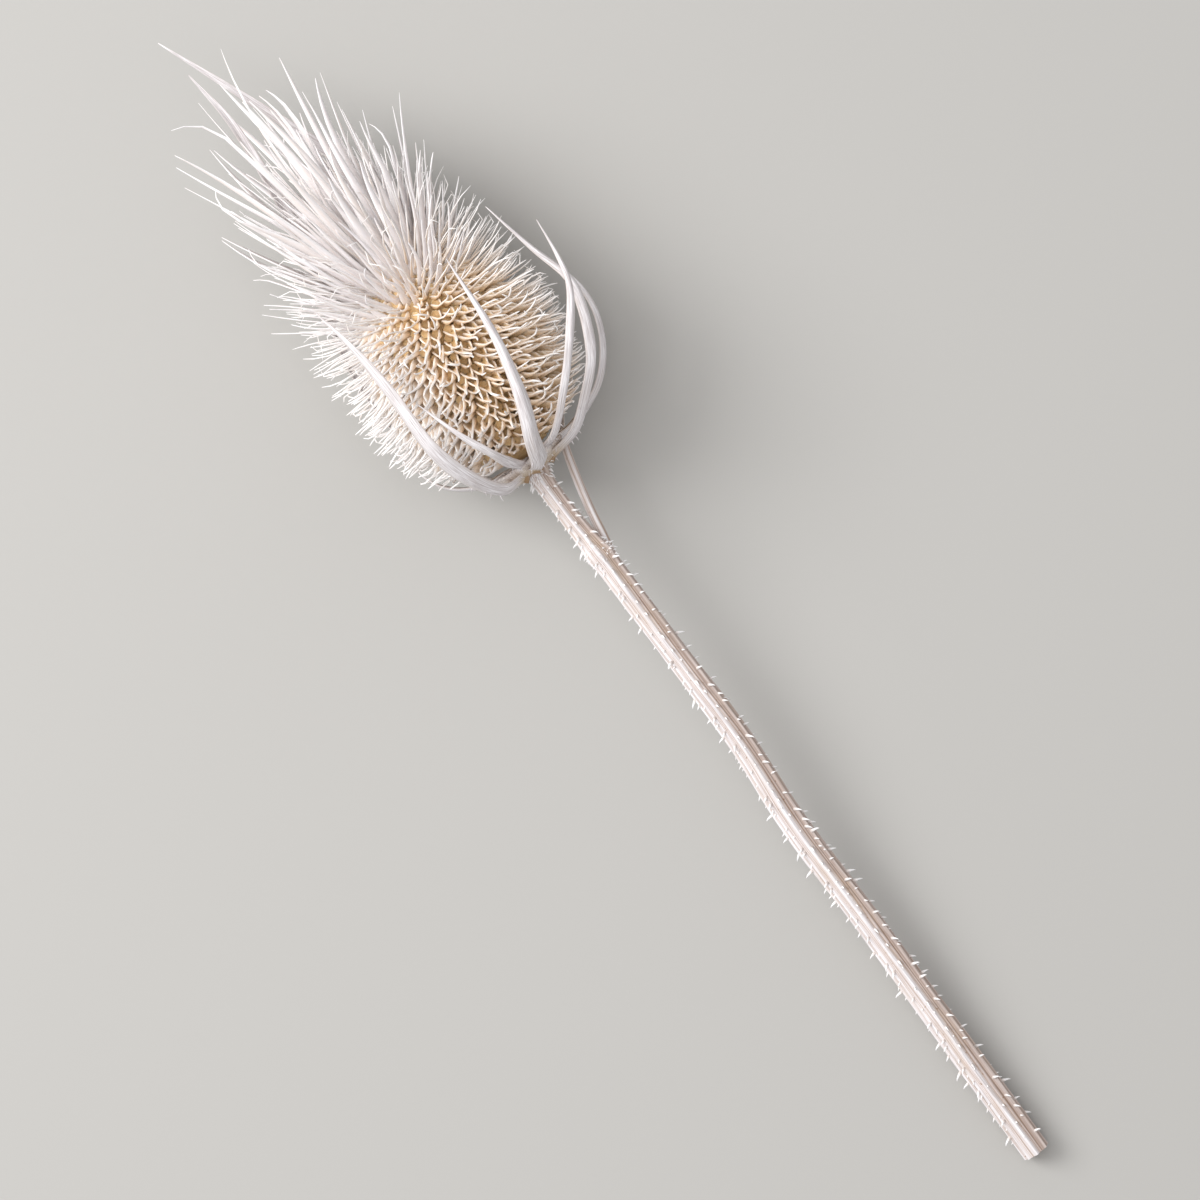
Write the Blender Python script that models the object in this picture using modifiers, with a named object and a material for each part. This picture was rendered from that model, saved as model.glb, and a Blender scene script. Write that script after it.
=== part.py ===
"""A dried, bleached teasel seed head, picked with its stem and lying on a flat surface.

The head's axis runs along X: its tip points to -X, and the stem runs to its cut end at +X. The
surface is z = 0. The head rests on the tips of its lower spines and the stem on its cut end.
Lengths are in metres. MM turns millimetres into metres.
"""

import math
import random

import bmesh
import bpy
from mathutils import Matrix, Vector

MM = 0.001
SEED = 7

# The head: its base is where the stem ends, and its axis rises a little towards the tip.
BASE = Vector((-28.5, 0.5, 18.4)) * MM
AXIS_RISE = math.radians(4.5)
UP = Vector((-math.cos(AXIS_RISE), 0, math.sin(AXIS_RISE)))
SIDE = Vector((0, 1, 0))
FRONT = Vector((math.sin(AXIS_RISE), 0, math.cos(AXIS_RISE)))

# The core that the spines stand out of.
CORE_START = 0.6 * MM
CORE_LENGTH = 46 * MM
CORE_RADIUS = 11.0 * MM
CORE_EGG = 0.14
CORE_SIDES = 20
CORE_RINGS = 12

# The spines stand in one spiral from the base to the tip.
SPINES = 600
GOLDEN_ANGLE = math.radians(137.508)
FIRST_SPINE = 2.6 * MM
ROOT_DEPTH = 1.3 * MM
SPINE_RADIUS = 0.72 * MM
SPINE_SHORTEST = 3.5 * MM
SPINE_UNEVEN = 0.10
SPINE_STRAY = 0.06
# Place along the head from 0 to 1, length past the core, and lean from square towards the tip.
SPINE_RULE = (
    (0.00, 7.0 * MM, math.radians(14)),
    (0.12, 9.0 * MM, math.radians(0)),
    (0.30, 10.2 * MM, math.radians(-7)),
    (0.55, 11.4 * MM, math.radians(-4)),
    (0.72, 13.0 * MM, math.radians(10)),
    (0.85, 15.0 * MM, math.radians(30)),
    (0.94, 19.0 * MM, math.radians(55)),
    (1.00, 24.0 * MM, math.radians(88)),
)
BRACT_GAP = 0.75 * MM

# The tuft: long bristles that fan out round the tip, longest on the -Y side.
BRISTLES = 72
TUFT_START = 0.83
BRISTLE_SHORTEST = 21 * MM
BRISTLE_LONGEST = 39 * MM
BRISTLE_LEANS = (math.radians(54), math.radians(88))
TUFT_ONE_SIDED = 0.18

# The stem: distance from the base, sideways offset and radius, from the head to the cut end.
STEM_LENGTH = 158 * MM
STEM_END_HEIGHT = 2.8 * MM
STEM_POINTS = (
    (-0.3, 0.0, 4.1),
    (0.9, -0.1, 4.1),
    (2.6, -0.4, 2.7),
    (6.0, -0.5, 2.0),
    (14.0, -0.4, 1.95),
    (20.0, -0.1, 2.35),
    (25.0, 0.1, 2.4),
    (45.0, 0.3, 2.4),
    (63.0, 0.5, 2.5),
    (83.0, -0.7, 2.6),
    (107.0, -0.4, 2.65),
    (133.0, -0.5, 2.75),
    (158.0, -0.6, 2.8),
)
RIBS = 8
RIB_DEPTH = 0.14

# A thin side shoot leaves the stem, runs back beside it and ends between two bracts, behind the
# head's base.
SHOOT_POINTS = (
    (26.0, 0.2, -0.4, 1.2),
    (21.0, 1.9, -1.2, 1.1),
    (14.0, 3.3, -2.2, 0.95),
    (8.0, 4.7, -3.3, 0.9),
    (3.0, 6.1, -4.5, 0.85),
    (-1.2, 7.6, -5.6, 0.8),
)
SHOOT_SIDES = 8

PRICKLES = 110
PRICKLE_LENGTH = 1.7 * MM
PRICKLE_RADIUS = 0.34 * MM
PRICKLE_SUNK = 0.45 * MM
PRICKLE_LEAN = math.radians(25)
PRICKLE_CLEAR_OF_FLOOR = 0.25 * MM

# The bracts: face is the azimuth that the blade faces at its root and its tip, in degrees from
# the +Y side towards the front. Points run from root to tip, in millimetres: distance from the
# base towards the tip, to the side, and to the front.
BRACT_THICKNESS = 0.62 * MM
BRACT_TIP_WIDTH = 0.55 * MM
BRACT_KEEL = 0.16
BRACT_SEGMENTS = 15
BRACTS = {
    "bract_01": dict(width=3.8, taper=1.9, face=(87, 70), points=(
        (-1.0, 0.3, 4.6), (-0.4, 1.2, 11), (4, 2.4, 19), (12, 5.4, 24.3),
        (24, 8.0, 25.2), (39, 9.1, 21.5))),
    "bract_02": dict(width=3.0, taper=1.6, face=(112, 121), points=(
        (0.8, -1.7, 4.3), (1.8, -3.0, 11), (5.5, -4.8, 18), (12.5, -7.8, 21.2),
        (21.2, -10.6, 19.9))),
    "bract_03": dict(width=3.5, taper=2.2, face=(145, 125), points=(
        (-1.0, -3.8, 2.7), (-0.4, -7.8, 8.5), (5.5, -11.3, 16.2), (13.5, -13.2, 20.7),
        (26, -13.2, 21.6), (36, -13.9, 19.6), (45, -15.5, 16))),
    "bract_04": dict(width=2.6, taper=1.8, face=(185, 190), points=(
        (0.8, -4.6, -0.4), (1.6, -10.5, -1.5), (6.0, -16.2, -2.5), (15, -19.2, -3.5))),
    "bract_05": dict(width=3.2, taper=5.0, face=(225, 262), points=(
        (-1.0, -3.3, -3.3), (-0.6, -7.5, -8.3), (6, -12.5, -15.0), (16, -15.8, -17.4),
        (32, -16.0, -16.8), (56, -10.0, -10.5), (79, -7.5, -6), (93, -8.6, -4))),
    "bract_06": dict(width=2.6, taper=1.8, face=(262, 262), points=(
        (0.8, -0.6, -4.6), (1.4, -1.4, -10.5), (4.6, -2.3, -15.0), (11, -2.8, -17.2))),
    "bract_07": dict(width=3.2, taper=5.0, face=(305, 272), points=(
        (-1.0, 2.6, -3.8), (-0.6, 6.0, -9.0), (6, 10.4, -15.4), (17, 12.8, -17.6),
        (34, 12.0, -17.4), (52, 8.0, -14.0), (67, 3.6, -11), (83, -2.4, -8.5),
        (101, -9.6, -6))),
    "bract_08": dict(width=3.0, taper=2.0, face=(340, 355), points=(
        (0.8, 4.3, -1.6), (0.9, 10.2, -2.8), (4.4, 18.6, -3.6), (11.6, 24.3, -3.4),
        (20, 26.0, -2.6), (31, 23.1, -1.2))),
    "bract_09": dict(width=2.9, taper=1.9, face=(20, 14), points=(
        (-1.0, 4.3, 1.6), (0.2, 9.8, 4.2), (4.6, 15.4, 7.4), (9.5, 20.2, 9.4),
        (16.7, 23.7, 9.2), (23, 25.0, 7.4), (31, 22.9, 6.5), (42, 20.6, 5.5))),
    "bract_10": dict(width=1.9, taper=2.4, face=(58, 14), points=(
        (0.8, 2.5, 3.9), (2.4, 6.8, 11.4), (8.7, 13.3, 17.8), (14.5, 18.6, 17.6),
        (21.3, 23.9, 13.7), (27, 25.7, 10.3), (34.7, 26.6, 7))),
}

COLORS = {
    "stem_straw": (0.74, 0.66, 0.58, 1),
    "head_cream": (0.83, 0.71, 0.54, 1),
    "bract_white": (0.82, 0.79, 0.80, 1),
}


def at_head(along, side, front):
    """A point given by its distances from the base along the head, to the side and to the front."""
    return BASE + UP * along + SIDE * side + FRONT * front


def smooth_path(points, count):
    """Evenly spaced values of a curve that runs through the points, each a tuple of numbers."""
    first = [2 * a - b for a, b in zip(points[0], points[1])]
    last = [2 * a - b for a, b in zip(points[-1], points[-2])]
    ends = [first, *points, last]
    spans = len(points) - 1
    path = []
    for step in range(count + 1):
        place = step / count * spans
        span = min(int(place), spans - 1)
        t = place - span
        before, start, finish, after = ends[span:span + 4]
        path.append([
            0.5 * (2 * s + (f - b) * t + (2 * b - 5 * s + 4 * f - a) * t * t
                   + (3 * s - b - 3 * f + a) * t ** 3)
            for b, s, f, a in zip(before, start, finish, after)])
    return path


def blend(rows, place):
    """Read a rule of rows (place, value, value), with straight runs between the rows."""
    for low, high in zip(rows, rows[1:]):
        if place <= high[0]:
            t = (place - low[0]) / (high[0] - low[0])
            return [a + (b - a) * t for a, b in zip(low[1:], high[1:])]
    return list(rows[-1][1:])


def material(name):
    """A plain finish in one of the named colours."""
    found = bpy.data.materials.get(name) or bpy.data.materials.new(name)
    found.use_nodes = True
    shader = found.node_tree.nodes["Principled BSDF"]
    shader.inputs["Base Color"].default_value = COLORS[name]
    shader.inputs["Roughness"].default_value = 0.7
    return found


def add_object(name, mesh, finish, collection):
    """Make an object of a mesh and put it in a collection."""
    if finish:
        mesh.materials.append(material(finish))
    made = bpy.data.objects.new(name, mesh)
    collection.objects.link(made)
    return made


def new_collection(name):
    """A collection of the scene."""
    made = bpy.data.collections.new(name)
    bpy.context.scene.collection.children.link(made)
    return made


def add_needle(name, root, tip, radius, collection):
    """A three-sided needle from a root to a sharp tip."""
    span = tip - root
    turn = span.to_track_quat("Z", "Y").to_matrix().to_4x4()
    place = Matrix.Translation((root + tip) / 2) @ turn
    bm = bmesh.new()
    bmesh.ops.create_cone(bm, cap_ends=True, segments=3, radius1=radius, radius2=0,
                          depth=span.length, matrix=place)
    bmesh.ops.remove_doubles(bm, verts=bm.verts, dist=0.001 * MM)
    mesh = bpy.data.meshes.new(name)
    bm.to_mesh(mesh)
    bm.free()
    return add_object(name, mesh, None, collection)


def fuse(body, repeats):
    """Join a collection of repeats to a body in one union, and remove the repeats."""
    union = body.modifiers.new("fused", "BOOLEAN")
    union.operation = "UNION"
    union.operand_type = "COLLECTION"
    union.collection = repeats
    union.solver = "MANIFOLD"
    graph = bpy.context.evaluated_depsgraph_get()
    mesh = bpy.data.meshes.new_from_object(body.evaluated_get(graph))
    body.modifiers.clear()
    body.data = mesh
    for piece in list(repeats.objects):
        bpy.data.objects.remove(piece)
    bpy.data.collections.remove(repeats)


def swept_tube(name, points, radii, profile, collection):
    """A profile swept along points, as one closed mesh, with a radius at each point."""
    curve = bpy.data.curves.new(name, "CURVE")
    curve.dimensions = "3D"
    curve.bevel_mode = "OBJECT"
    curve.bevel_object = profile
    curve.use_fill_caps = True
    line = curve.splines.new("POLY")
    line.points.add(len(points) - 1)
    for point, place, radius in zip(line.points, points, radii):
        point.co = (*place, 1)
        point.radius = radius
    swept = bpy.data.objects.new(name, curve)
    collection.objects.link(swept)
    graph = bpy.context.evaluated_depsgraph_get()
    mesh = bpy.data.meshes.new_from_object(swept.evaluated_get(graph))
    bpy.data.objects.remove(swept)
    bm = bmesh.new()
    bm.from_mesh(mesh)
    bmesh.ops.remove_doubles(bm, verts=bm.verts, dist=0.001 * MM)
    bmesh.ops.recalc_face_normals(bm, faces=bm.faces)
    bm.to_mesh(mesh)
    bm.free()
    mesh.materials.clear()
    return mesh


def profile_ring(name, sides, depth, collection):
    """A closed ring of unit radius whose every second point is set in by a depth."""
    curve = bpy.data.curves.new(name, "CURVE")
    curve.dimensions = "2D"
    line = curve.splines.new("POLY")
    line.points.add(sides - 1)
    line.use_cyclic_u = True
    for index, point in enumerate(line.points):
        angle = 2 * math.pi * index / sides
        reach = 1 - depth * (index % 2)
        point.co = (reach * math.cos(angle), reach * math.sin(angle), 0, 1)
    ring = bpy.data.objects.new(name, curve)
    ring.hide_render = True
    ring.display_type = "WIRE"
    collection.objects.link(ring)
    return ring


def stem_place(distance, side):
    """A point on the stem's centre line, by its distance from the base."""
    fall = (BASE.z - STEM_END_HEIGHT) * distance / STEM_LENGTH
    return Vector((BASE.x + distance, BASE.y + side, BASE.z - fall))


def add_stem(parts, guides):
    """The ribbed stem with its side shoot and its prickles, grown in one piece."""
    rows = smooth_path(STEM_POINTS, 2 * len(STEM_POINTS))
    centres = [stem_place(x * MM, y * MM) for x, y, r in rows]
    radii = [r * MM for x, y, r in rows]
    ribbed = profile_ring("stem_outline", 2 * RIBS, RIB_DEPTH, guides)
    stem = add_object("stem", swept_tube("stem", centres, radii, ribbed, guides), "stem_straw", parts)

    growths = new_collection("growths")
    shoot_rows = smooth_path(SHOOT_POINTS, 2 * len(SHOOT_POINTS))
    shoot_line = [stem_place(x * MM, y * MM) + Vector((0, 0, z * MM)) for x, y, z, r in shoot_rows]
    shoot_radii = [r * MM for x, y, z, r in shoot_rows]
    round_ring = profile_ring("shoot_outline", SHOOT_SIDES, 0, guides)
    shoot_mesh = swept_tube("shoot", shoot_line, shoot_radii, round_ring, guides)
    add_object("shoot", shoot_mesh, None, growths)
    for ring in (ribbed, round_ring):
        bpy.data.objects.remove(ring)

    draw = random.Random(SEED)
    first = 5 * MM
    for index in range(PRICKLES):
        share = (index + draw.uniform(0.1, 0.9)) / PRICKLES
        distance = first + (STEM_LENGTH - first - 3 * MM) * share ** 1.15
        azimuth = 2 * math.pi * ((index * 3) % RIBS + draw.choice((0, 1, 0))) / RIBS
        row = min(rows, key=lambda r: abs(r[0] * MM - distance))
        out = Vector((0, math.cos(azimuth), math.sin(azimuth)))
        lean = Vector((math.sin(PRICKLE_LEAN), 0, 0)) + out * math.cos(PRICKLE_LEAN)
        centre = stem_place(distance, row[1] * MM)
        root = centre + out * (row[2] * MM - PRICKLE_SUNK)
        tip = root + lean * (PRICKLE_SUNK + PRICKLE_LENGTH * draw.uniform(0.5, 1.15))
        if tip.z > PRICKLE_CLEAR_OF_FLOOR:
            add_needle(f"prickle_{index}", root, tip, PRICKLE_RADIUS, growths)
    fuse(stem, growths)


def bract_line(bract):
    """The bract's centre line with, at each point, its width and the direction of its width."""
    rows = smooth_path(bract["points"], BRACT_SEGMENTS)
    line = []
    for index, (along, side, front) in enumerate(rows):
        share = index / BRACT_SEGMENTS
        root_face, tip_face = bract["face"]
        azimuth = math.radians(root_face + (tip_face - root_face) * share)
        across = SIDE * -math.sin(azimuth) + FRONT * math.cos(azimuth)
        body = bract["width"] * MM - BRACT_TIP_WIDTH
        width = BRACT_TIP_WIDTH + body * (1 - share ** bract["taper"])
        line.append((at_head(along * MM, side * MM, front * MM), width, across))
    return line


def add_bract(name, bract, parts):
    """A long narrow leaf, folded along its midrib and curved up round the head."""
    line = bract_line(bract)
    bm = bmesh.new()
    bmesh.ops.create_grid(bm, x_segments=2, y_segments=BRACT_SEGMENTS, size=1)
    for vert in bm.verts:
        row = round((vert.co.y + 1) / 2 * BRACT_SEGMENTS)
        place, width, across = line[row]
        ahead = line[min(row + 1, BRACT_SEGMENTS)][0]
        behind = line[max(row - 1, 0)][0]
        along = (ahead - behind).normalized()
        across = (across - along * across.dot(along)).normalized()
        outer = along.cross(across)
        sideways = vert.co.x
        fold = BRACT_KEEL * width * (1 - abs(sideways))
        vert.co = place + across * (sideways * width / 2) + outer * fold
    bmesh.ops.triangulate(bm, faces=bm.faces, quad_method="FIXED")
    mesh = bpy.data.meshes.new(name)
    bm.to_mesh(mesh)
    bm.free()
    leaf = add_object(name, mesh, "bract_white", parts)
    shell = leaf.modifiers.new("thickness", "SOLIDIFY")
    shell.thickness = BRACT_THICKNESS
    shell.offset = 0
    shell.use_even_offset = True


def core_radius(share):
    """The core's radius at a share of its length, an egg with its wide end at the base."""
    height = 1 - 2 * share
    return CORE_RADIUS * math.sqrt(max(0, 1 - height ** 2)) * (1 + CORE_EGG * height)


def even_places(count, steps=400):
    """Shares of the core's length that split its surface into equal areas."""
    total = [0]
    for step in range(steps):
        low, high = step / steps, (step + 1) / steps
        r_low, r_high = core_radius(low), core_radius(high)
        slope = math.hypot(r_high - r_low, CORE_LENGTH / steps)
        total.append(total[-1] + (r_low + r_high) * slope)
    places = []
    step = 0
    for index in range(count):
        wanted = total[-1] * (index + 0.5) / count
        while total[step + 1] < wanted:
            step += 1
        part = (wanted - total[step]) / (total[step + 1] - total[step])
        places.append((step + part) / steps)
    return places


def nearest_on(start, end, point):
    """How far along a straight run, from 0 to 1, it comes nearest to a point."""
    run = end - start
    return max(0, min(1, (point - start).dot(run) / run.length_squared))


def clear_length(root, way, length, lines):
    """The length at which a spine stays above the surface and clear of every bract."""
    if way.z < 0:
        length = min(length, -root.z / way.z)
    for line in lines:
        for place, width, across in line:
            share = nearest_on(root, root + way * length, place)
            gap = width / 2 + BRACT_GAP
            if (root + way * length * share - place).length < gap:
                length = length * share - gap
                if length <= 0:
                    return 0
    return length


def fine_lines():
    """Each bract's centre line, as close points between its own."""
    lines = []
    for bract in BRACTS.values():
        line = bract_line(bract)
        close = []
        for (here, width, across), (there, wide, other) in zip(line, line[1:]):
            for part in (0, 0.25, 0.5, 0.75):
                close.append((here.lerp(there, part), width + (wide - width) * part, across))
        lines.append(close + [line[-1]])
    return lines


def spine_rows():
    """Each spine's share of the core's length, azimuth, length past the core, lean and stray."""
    draw = random.Random(SEED)
    rows = []
    for index, share in enumerate(even_places(SPINES)):
        length, lean = blend(SPINE_RULE, share)
        length *= 1 + draw.uniform(-SPINE_UNEVEN, SPINE_UNEVEN)
        stray = draw.uniform(-SPINE_STRAY, SPINE_STRAY)
        if CORE_START + CORE_LENGTH * share > FIRST_SPINE:
            rows.append((share, index * GOLDEN_ANGLE, length, lean, stray))
    return rows


def bristle_rows():
    """The same for the long bristles of the tuft."""
    draw = random.Random(SEED)
    rows = []
    for index in range(BRISTLES):
        inwards = (index + 0.5) / BRISTLES
        azimuth = (index + 0.5) * GOLDEN_ANGLE
        reach = BRISTLE_LONGEST - BRISTLE_SHORTEST
        length = BRISTLE_SHORTEST + reach * draw.random() ** 1.4
        length *= 1 - TUFT_ONE_SIDED * math.cos(azimuth)
        low, high = BRISTLE_LEANS
        lean = low + (high - low) * inwards + draw.uniform(-SPINE_STRAY, SPINE_STRAY)
        stray = draw.uniform(-SPINE_STRAY, SPINE_STRAY)
        rows.append((TUFT_START + (1 - TUFT_START) * inwards, azimuth, length, lean, stray))
    return rows


def add_seed_head(parts):
    """The egg-shaped core with every spine and bristle fused to it."""
    bm = bmesh.new()
    bmesh.ops.create_uvsphere(bm, u_segments=CORE_SIDES, v_segments=CORE_RINGS, radius=1)
    for vert in bm.verts:
        share = (vert.co.z + 1) / 2
        azimuth = math.atan2(vert.co.y, vert.co.x)
        out = core_radius(share) if 0 < share < 1 else 0
        along = CORE_START + CORE_LENGTH * share
        vert.co = at_head(along, out * math.sin(azimuth), out * math.cos(azimuth))
    mesh = bpy.data.meshes.new("seed_head")
    bm.to_mesh(mesh)
    bm.free()
    head = add_object("seed_head", mesh, "head_cream", parts)

    spines = new_collection("spines")
    lines = fine_lines()
    for index, (share, azimuth, length, lean, stray) in enumerate(spine_rows() + bristle_rows()):
        radial = SIDE * math.cos(azimuth) + FRONT * math.sin(azimuth)
        way = radial * math.cos(lean) + UP * math.sin(lean) + radial.cross(UP) * stray
        way.normalize()
        surface = BASE + UP * (CORE_START + CORE_LENGTH * share) + radial * core_radius(share)
        root = surface - way * ROOT_DEPTH
        reach = clear_length(root, way, ROOT_DEPTH + length, lines)
        if reach > SPINE_SHORTEST:
            add_needle(f"spine_{index}", root, root + way * reach, SPINE_RADIUS, spines)
    fuse(head, spines)


def build():
    """Make the whole teasel."""
    for old in list(bpy.data.objects):
        bpy.data.objects.remove(old)
    parts = new_collection("teasel_seed_head")
    guides = new_collection("guides")
    add_stem(parts, guides)
    for name, bract in BRACTS.items():
        add_bract(name, bract, parts)
    add_seed_head(parts)


build()
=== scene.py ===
# %% [markdown]
# # A dried teasel seed head
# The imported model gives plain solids: a stem, a head and ten bracts. This lesson keeps their places
# and sizes, and puts finer pieces in their place, to show what a bleached teasel looks like close
# up: channelled scales with long awns, veined leaves and a ribbed, prickly stem.
# Everything is in metres, in the model's own frame. The head's tip points to -X, the stem runs to
# its cut end at +X, and z = 0 is the surface that the teasel lies on.

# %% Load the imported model
import math

import bmesh
import bpy
import numpy as np
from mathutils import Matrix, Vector, noise


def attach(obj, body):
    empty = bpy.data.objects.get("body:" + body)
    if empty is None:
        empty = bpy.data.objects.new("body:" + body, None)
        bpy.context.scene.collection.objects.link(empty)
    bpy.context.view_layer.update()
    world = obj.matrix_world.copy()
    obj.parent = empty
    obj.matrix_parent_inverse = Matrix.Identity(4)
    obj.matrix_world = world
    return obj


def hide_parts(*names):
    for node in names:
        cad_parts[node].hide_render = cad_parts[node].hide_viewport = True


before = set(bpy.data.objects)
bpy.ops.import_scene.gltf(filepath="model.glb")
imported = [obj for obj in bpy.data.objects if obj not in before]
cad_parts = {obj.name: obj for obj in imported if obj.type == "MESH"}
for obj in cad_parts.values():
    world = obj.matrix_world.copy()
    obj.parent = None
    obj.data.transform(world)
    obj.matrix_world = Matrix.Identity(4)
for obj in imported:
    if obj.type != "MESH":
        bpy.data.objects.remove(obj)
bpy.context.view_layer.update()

MM = 0.001
SEED = 7
print("nodes:", sorted(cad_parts))

# %% [markdown]
# ## Places on the head
# A teasel head grows round a straight axis, so its parts are easiest to place by three distances
# from the head's base: along the axis, to the side, and to the front, which is up here. The axis
# rises a little towards the tip, as the head rests on its lower spines. The numbers are those of
# the CAD source, so each finer piece lands where its plain solid stands.

# %% The head's own directions
BASE = np.array((-28.5, 0.5, 18.4)) * MM
AXIS_RISE = math.radians(4.5)
UP = np.array((-math.cos(AXIS_RISE), 0, math.sin(AXIS_RISE)))
SIDE = np.array((0.0, 1.0, 0.0))
FRONT = np.array((math.sin(AXIS_RISE), 0, math.cos(AXIS_RISE)))


def at_head(places):
    """World places of rows (along, side, front) in metres from the head's base."""
    return BASE + np.asarray(places) @ np.stack((UP, SIDE, FRONT))


def unit(vectors):
    """The same directions with a length of one."""
    return vectors / np.linalg.norm(vectors, axis=-1, keepdims=True)


def around(turns, first, second):
    """Directions that turn from a first one towards a second one."""
    return np.multiply.outer(np.cos(turns), first) + np.multiply.outer(np.sin(turns), second)


print("the head's base in mm:", BASE / MM)

# %% [markdown]
# ## Smooth lines and rules
# A leaf or a stem follows a few measured points. A curve that runs through all of them gives the
# points between. Sizes that change along a piece, such as its width, are short tables, read with
# straight runs between their rows.

# %% Curves and tables
def smooth_path(points, count):
    """Rows of an even walk along a curve that runs through the given rows."""
    rows = np.array(points, float)
    ends = np.vstack((2 * rows[0] - rows[1], rows, 2 * rows[-1] - rows[-2]))
    place = np.linspace(0, len(rows) - 1, count)
    span = np.minimum(place.astype(int), len(rows) - 2)
    t = (place - span)[:, None]
    before, start, finish, after = (ends[span + k] for k in range(4))
    linear = (finish - before) * t
    square = (2 * before - 5 * start + 4 * finish - after) * t ** 2
    cubic = (3 * start - before - 3 * finish + after) * t ** 3
    return (2 * start + linear + square + cubic) / 2


def read_table(table, places):
    """Each column of a table at some places, the first column being the place."""
    rows = np.array(table, float)
    return [np.interp(places, rows[:, 0], column) for column in rows[:, 1:].T]


print("halfway along 0, 1, 4:", smooth_path([(0,), (1,), (4,)], 5)[2])

# %% [markdown]
# ## A strip that is bent along a line
# Bracts, scales and bristles are all the same kind of thing: a narrow strip, folded along its
# middle into a channel, that tapers to a point. So one flat strip is made with a grid, pulled up
# into a thin closed slab, and then bent. Its own x, y and z say where each point goes: x across
# the strip, y counts the rings along it, and z tells the inner face from the outer one.

# %% The flat strip
def of_kind(parts, kind):
    """The parts of one kind among those that an operator gives back."""
    return [part for part in parts if isinstance(part, kind)]


def keep_mesh(bm, name, turn_out=True):
    """Keep a drawing as a mesh, with its faces turned outwards."""
    if turn_out:
        bm.normal_update()
        bmesh.ops.recalc_face_normals(bm, faces=bm.faces[:])
    mesh = bpy.data.meshes.new(name)
    bm.to_mesh(mesh)
    bm.free()
    return mesh


def make_strip(columns, rings):
    """A closed flat strip: x from -1 to 1, y counts the rings, z is 0 inside and 1 outside."""
    bm = bmesh.new()
    bmesh.ops.create_grid(bm, x_segments=columns, y_segments=rings - 1, size=1)
    for vert in bm.verts:
        vert.co.y = round((vert.co.y + 1) / 2 * (rings - 1))
    grown = bmesh.ops.extrude_face_region(bm, geom=bm.faces[:], use_keep_orig=True)["geom"]
    bmesh.ops.translate(bm, verts=of_kind(grown, bmesh.types.BMVert), vec=(0, 0, 1))
    return keep_mesh(bm, "strip")


def join_meshes(name, meshes):
    """Several meshes as one, in order, with their notes."""
    bm = bmesh.new()
    for mesh in meshes:
        bm.from_mesh(mesh)
    return keep_mesh(bm, name, False)


def mesh_points(mesh):
    """The points of a mesh as rows of numbers."""
    flat = np.empty(len(mesh.vertices) * 3, np.float32)
    mesh.vertices.foreach_get("co", flat)
    return flat.reshape(-1, 3).astype(float)


def repeat_mesh(template, count, name):
    """One mesh with many copies of a template, and the x, y and z of their points, a row a copy."""
    mesh = join_meshes(name, [template] * count)
    return mesh, mesh_points(mesh).reshape(count, -1, 3).transpose(2, 0, 1)


def move_points(mesh, places):
    """Put the points of a mesh at new places."""
    mesh.vertices.foreach_set("co", places.astype(np.float32).ravel())
    mesh.update()


print("one strip has", len(make_strip(2, 10).polygons), "faces")

# %% [markdown]
# ## Notes for the materials
# A pattern that follows a grown thing needs to know where it is on it. So each mesh carries
# notes at its points: share is 0 at the root and 1 at the tip, tone differs from piece to piece,
# edge is 1 on the margin of a strip, inner is 1 on the hollow side of its channel, and grain is a
# place in millimetres whose first number runs along the fibres. On scales that face the lamp,
# share is raised and inner lowered, as painted light. On the stem, turn is the angle round it,
# ridge is 1 on a rib, and shade is 1 on the side where painted shade browns the rind.

# %% Notes at the points of a mesh
WALL_STEEPNESS = 0.3
DEEP_FOLD = 0.5 * MM
THIN_EDGE = 0.5
LOWEST = 0.02 * MM
GRAIN_SHIFT = 7.3        # how far the grain of one copy is from that of the next


def add_note(mesh, name, values):
    """Keep a number or a vector at each point of a mesh. A single number goes to all of them."""
    count = len(mesh.vertices)
    values = np.asarray(values, np.float32).ravel()
    if values.size == 1:
        values = np.full(count, values[0])
    kind, field = ("FLOAT", "value") if values.size == count else ("FLOAT_VECTOR", "vector")
    note = mesh.attributes.new(name, kind, "POINT")
    note.data.foreach_set(field, values)


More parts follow.
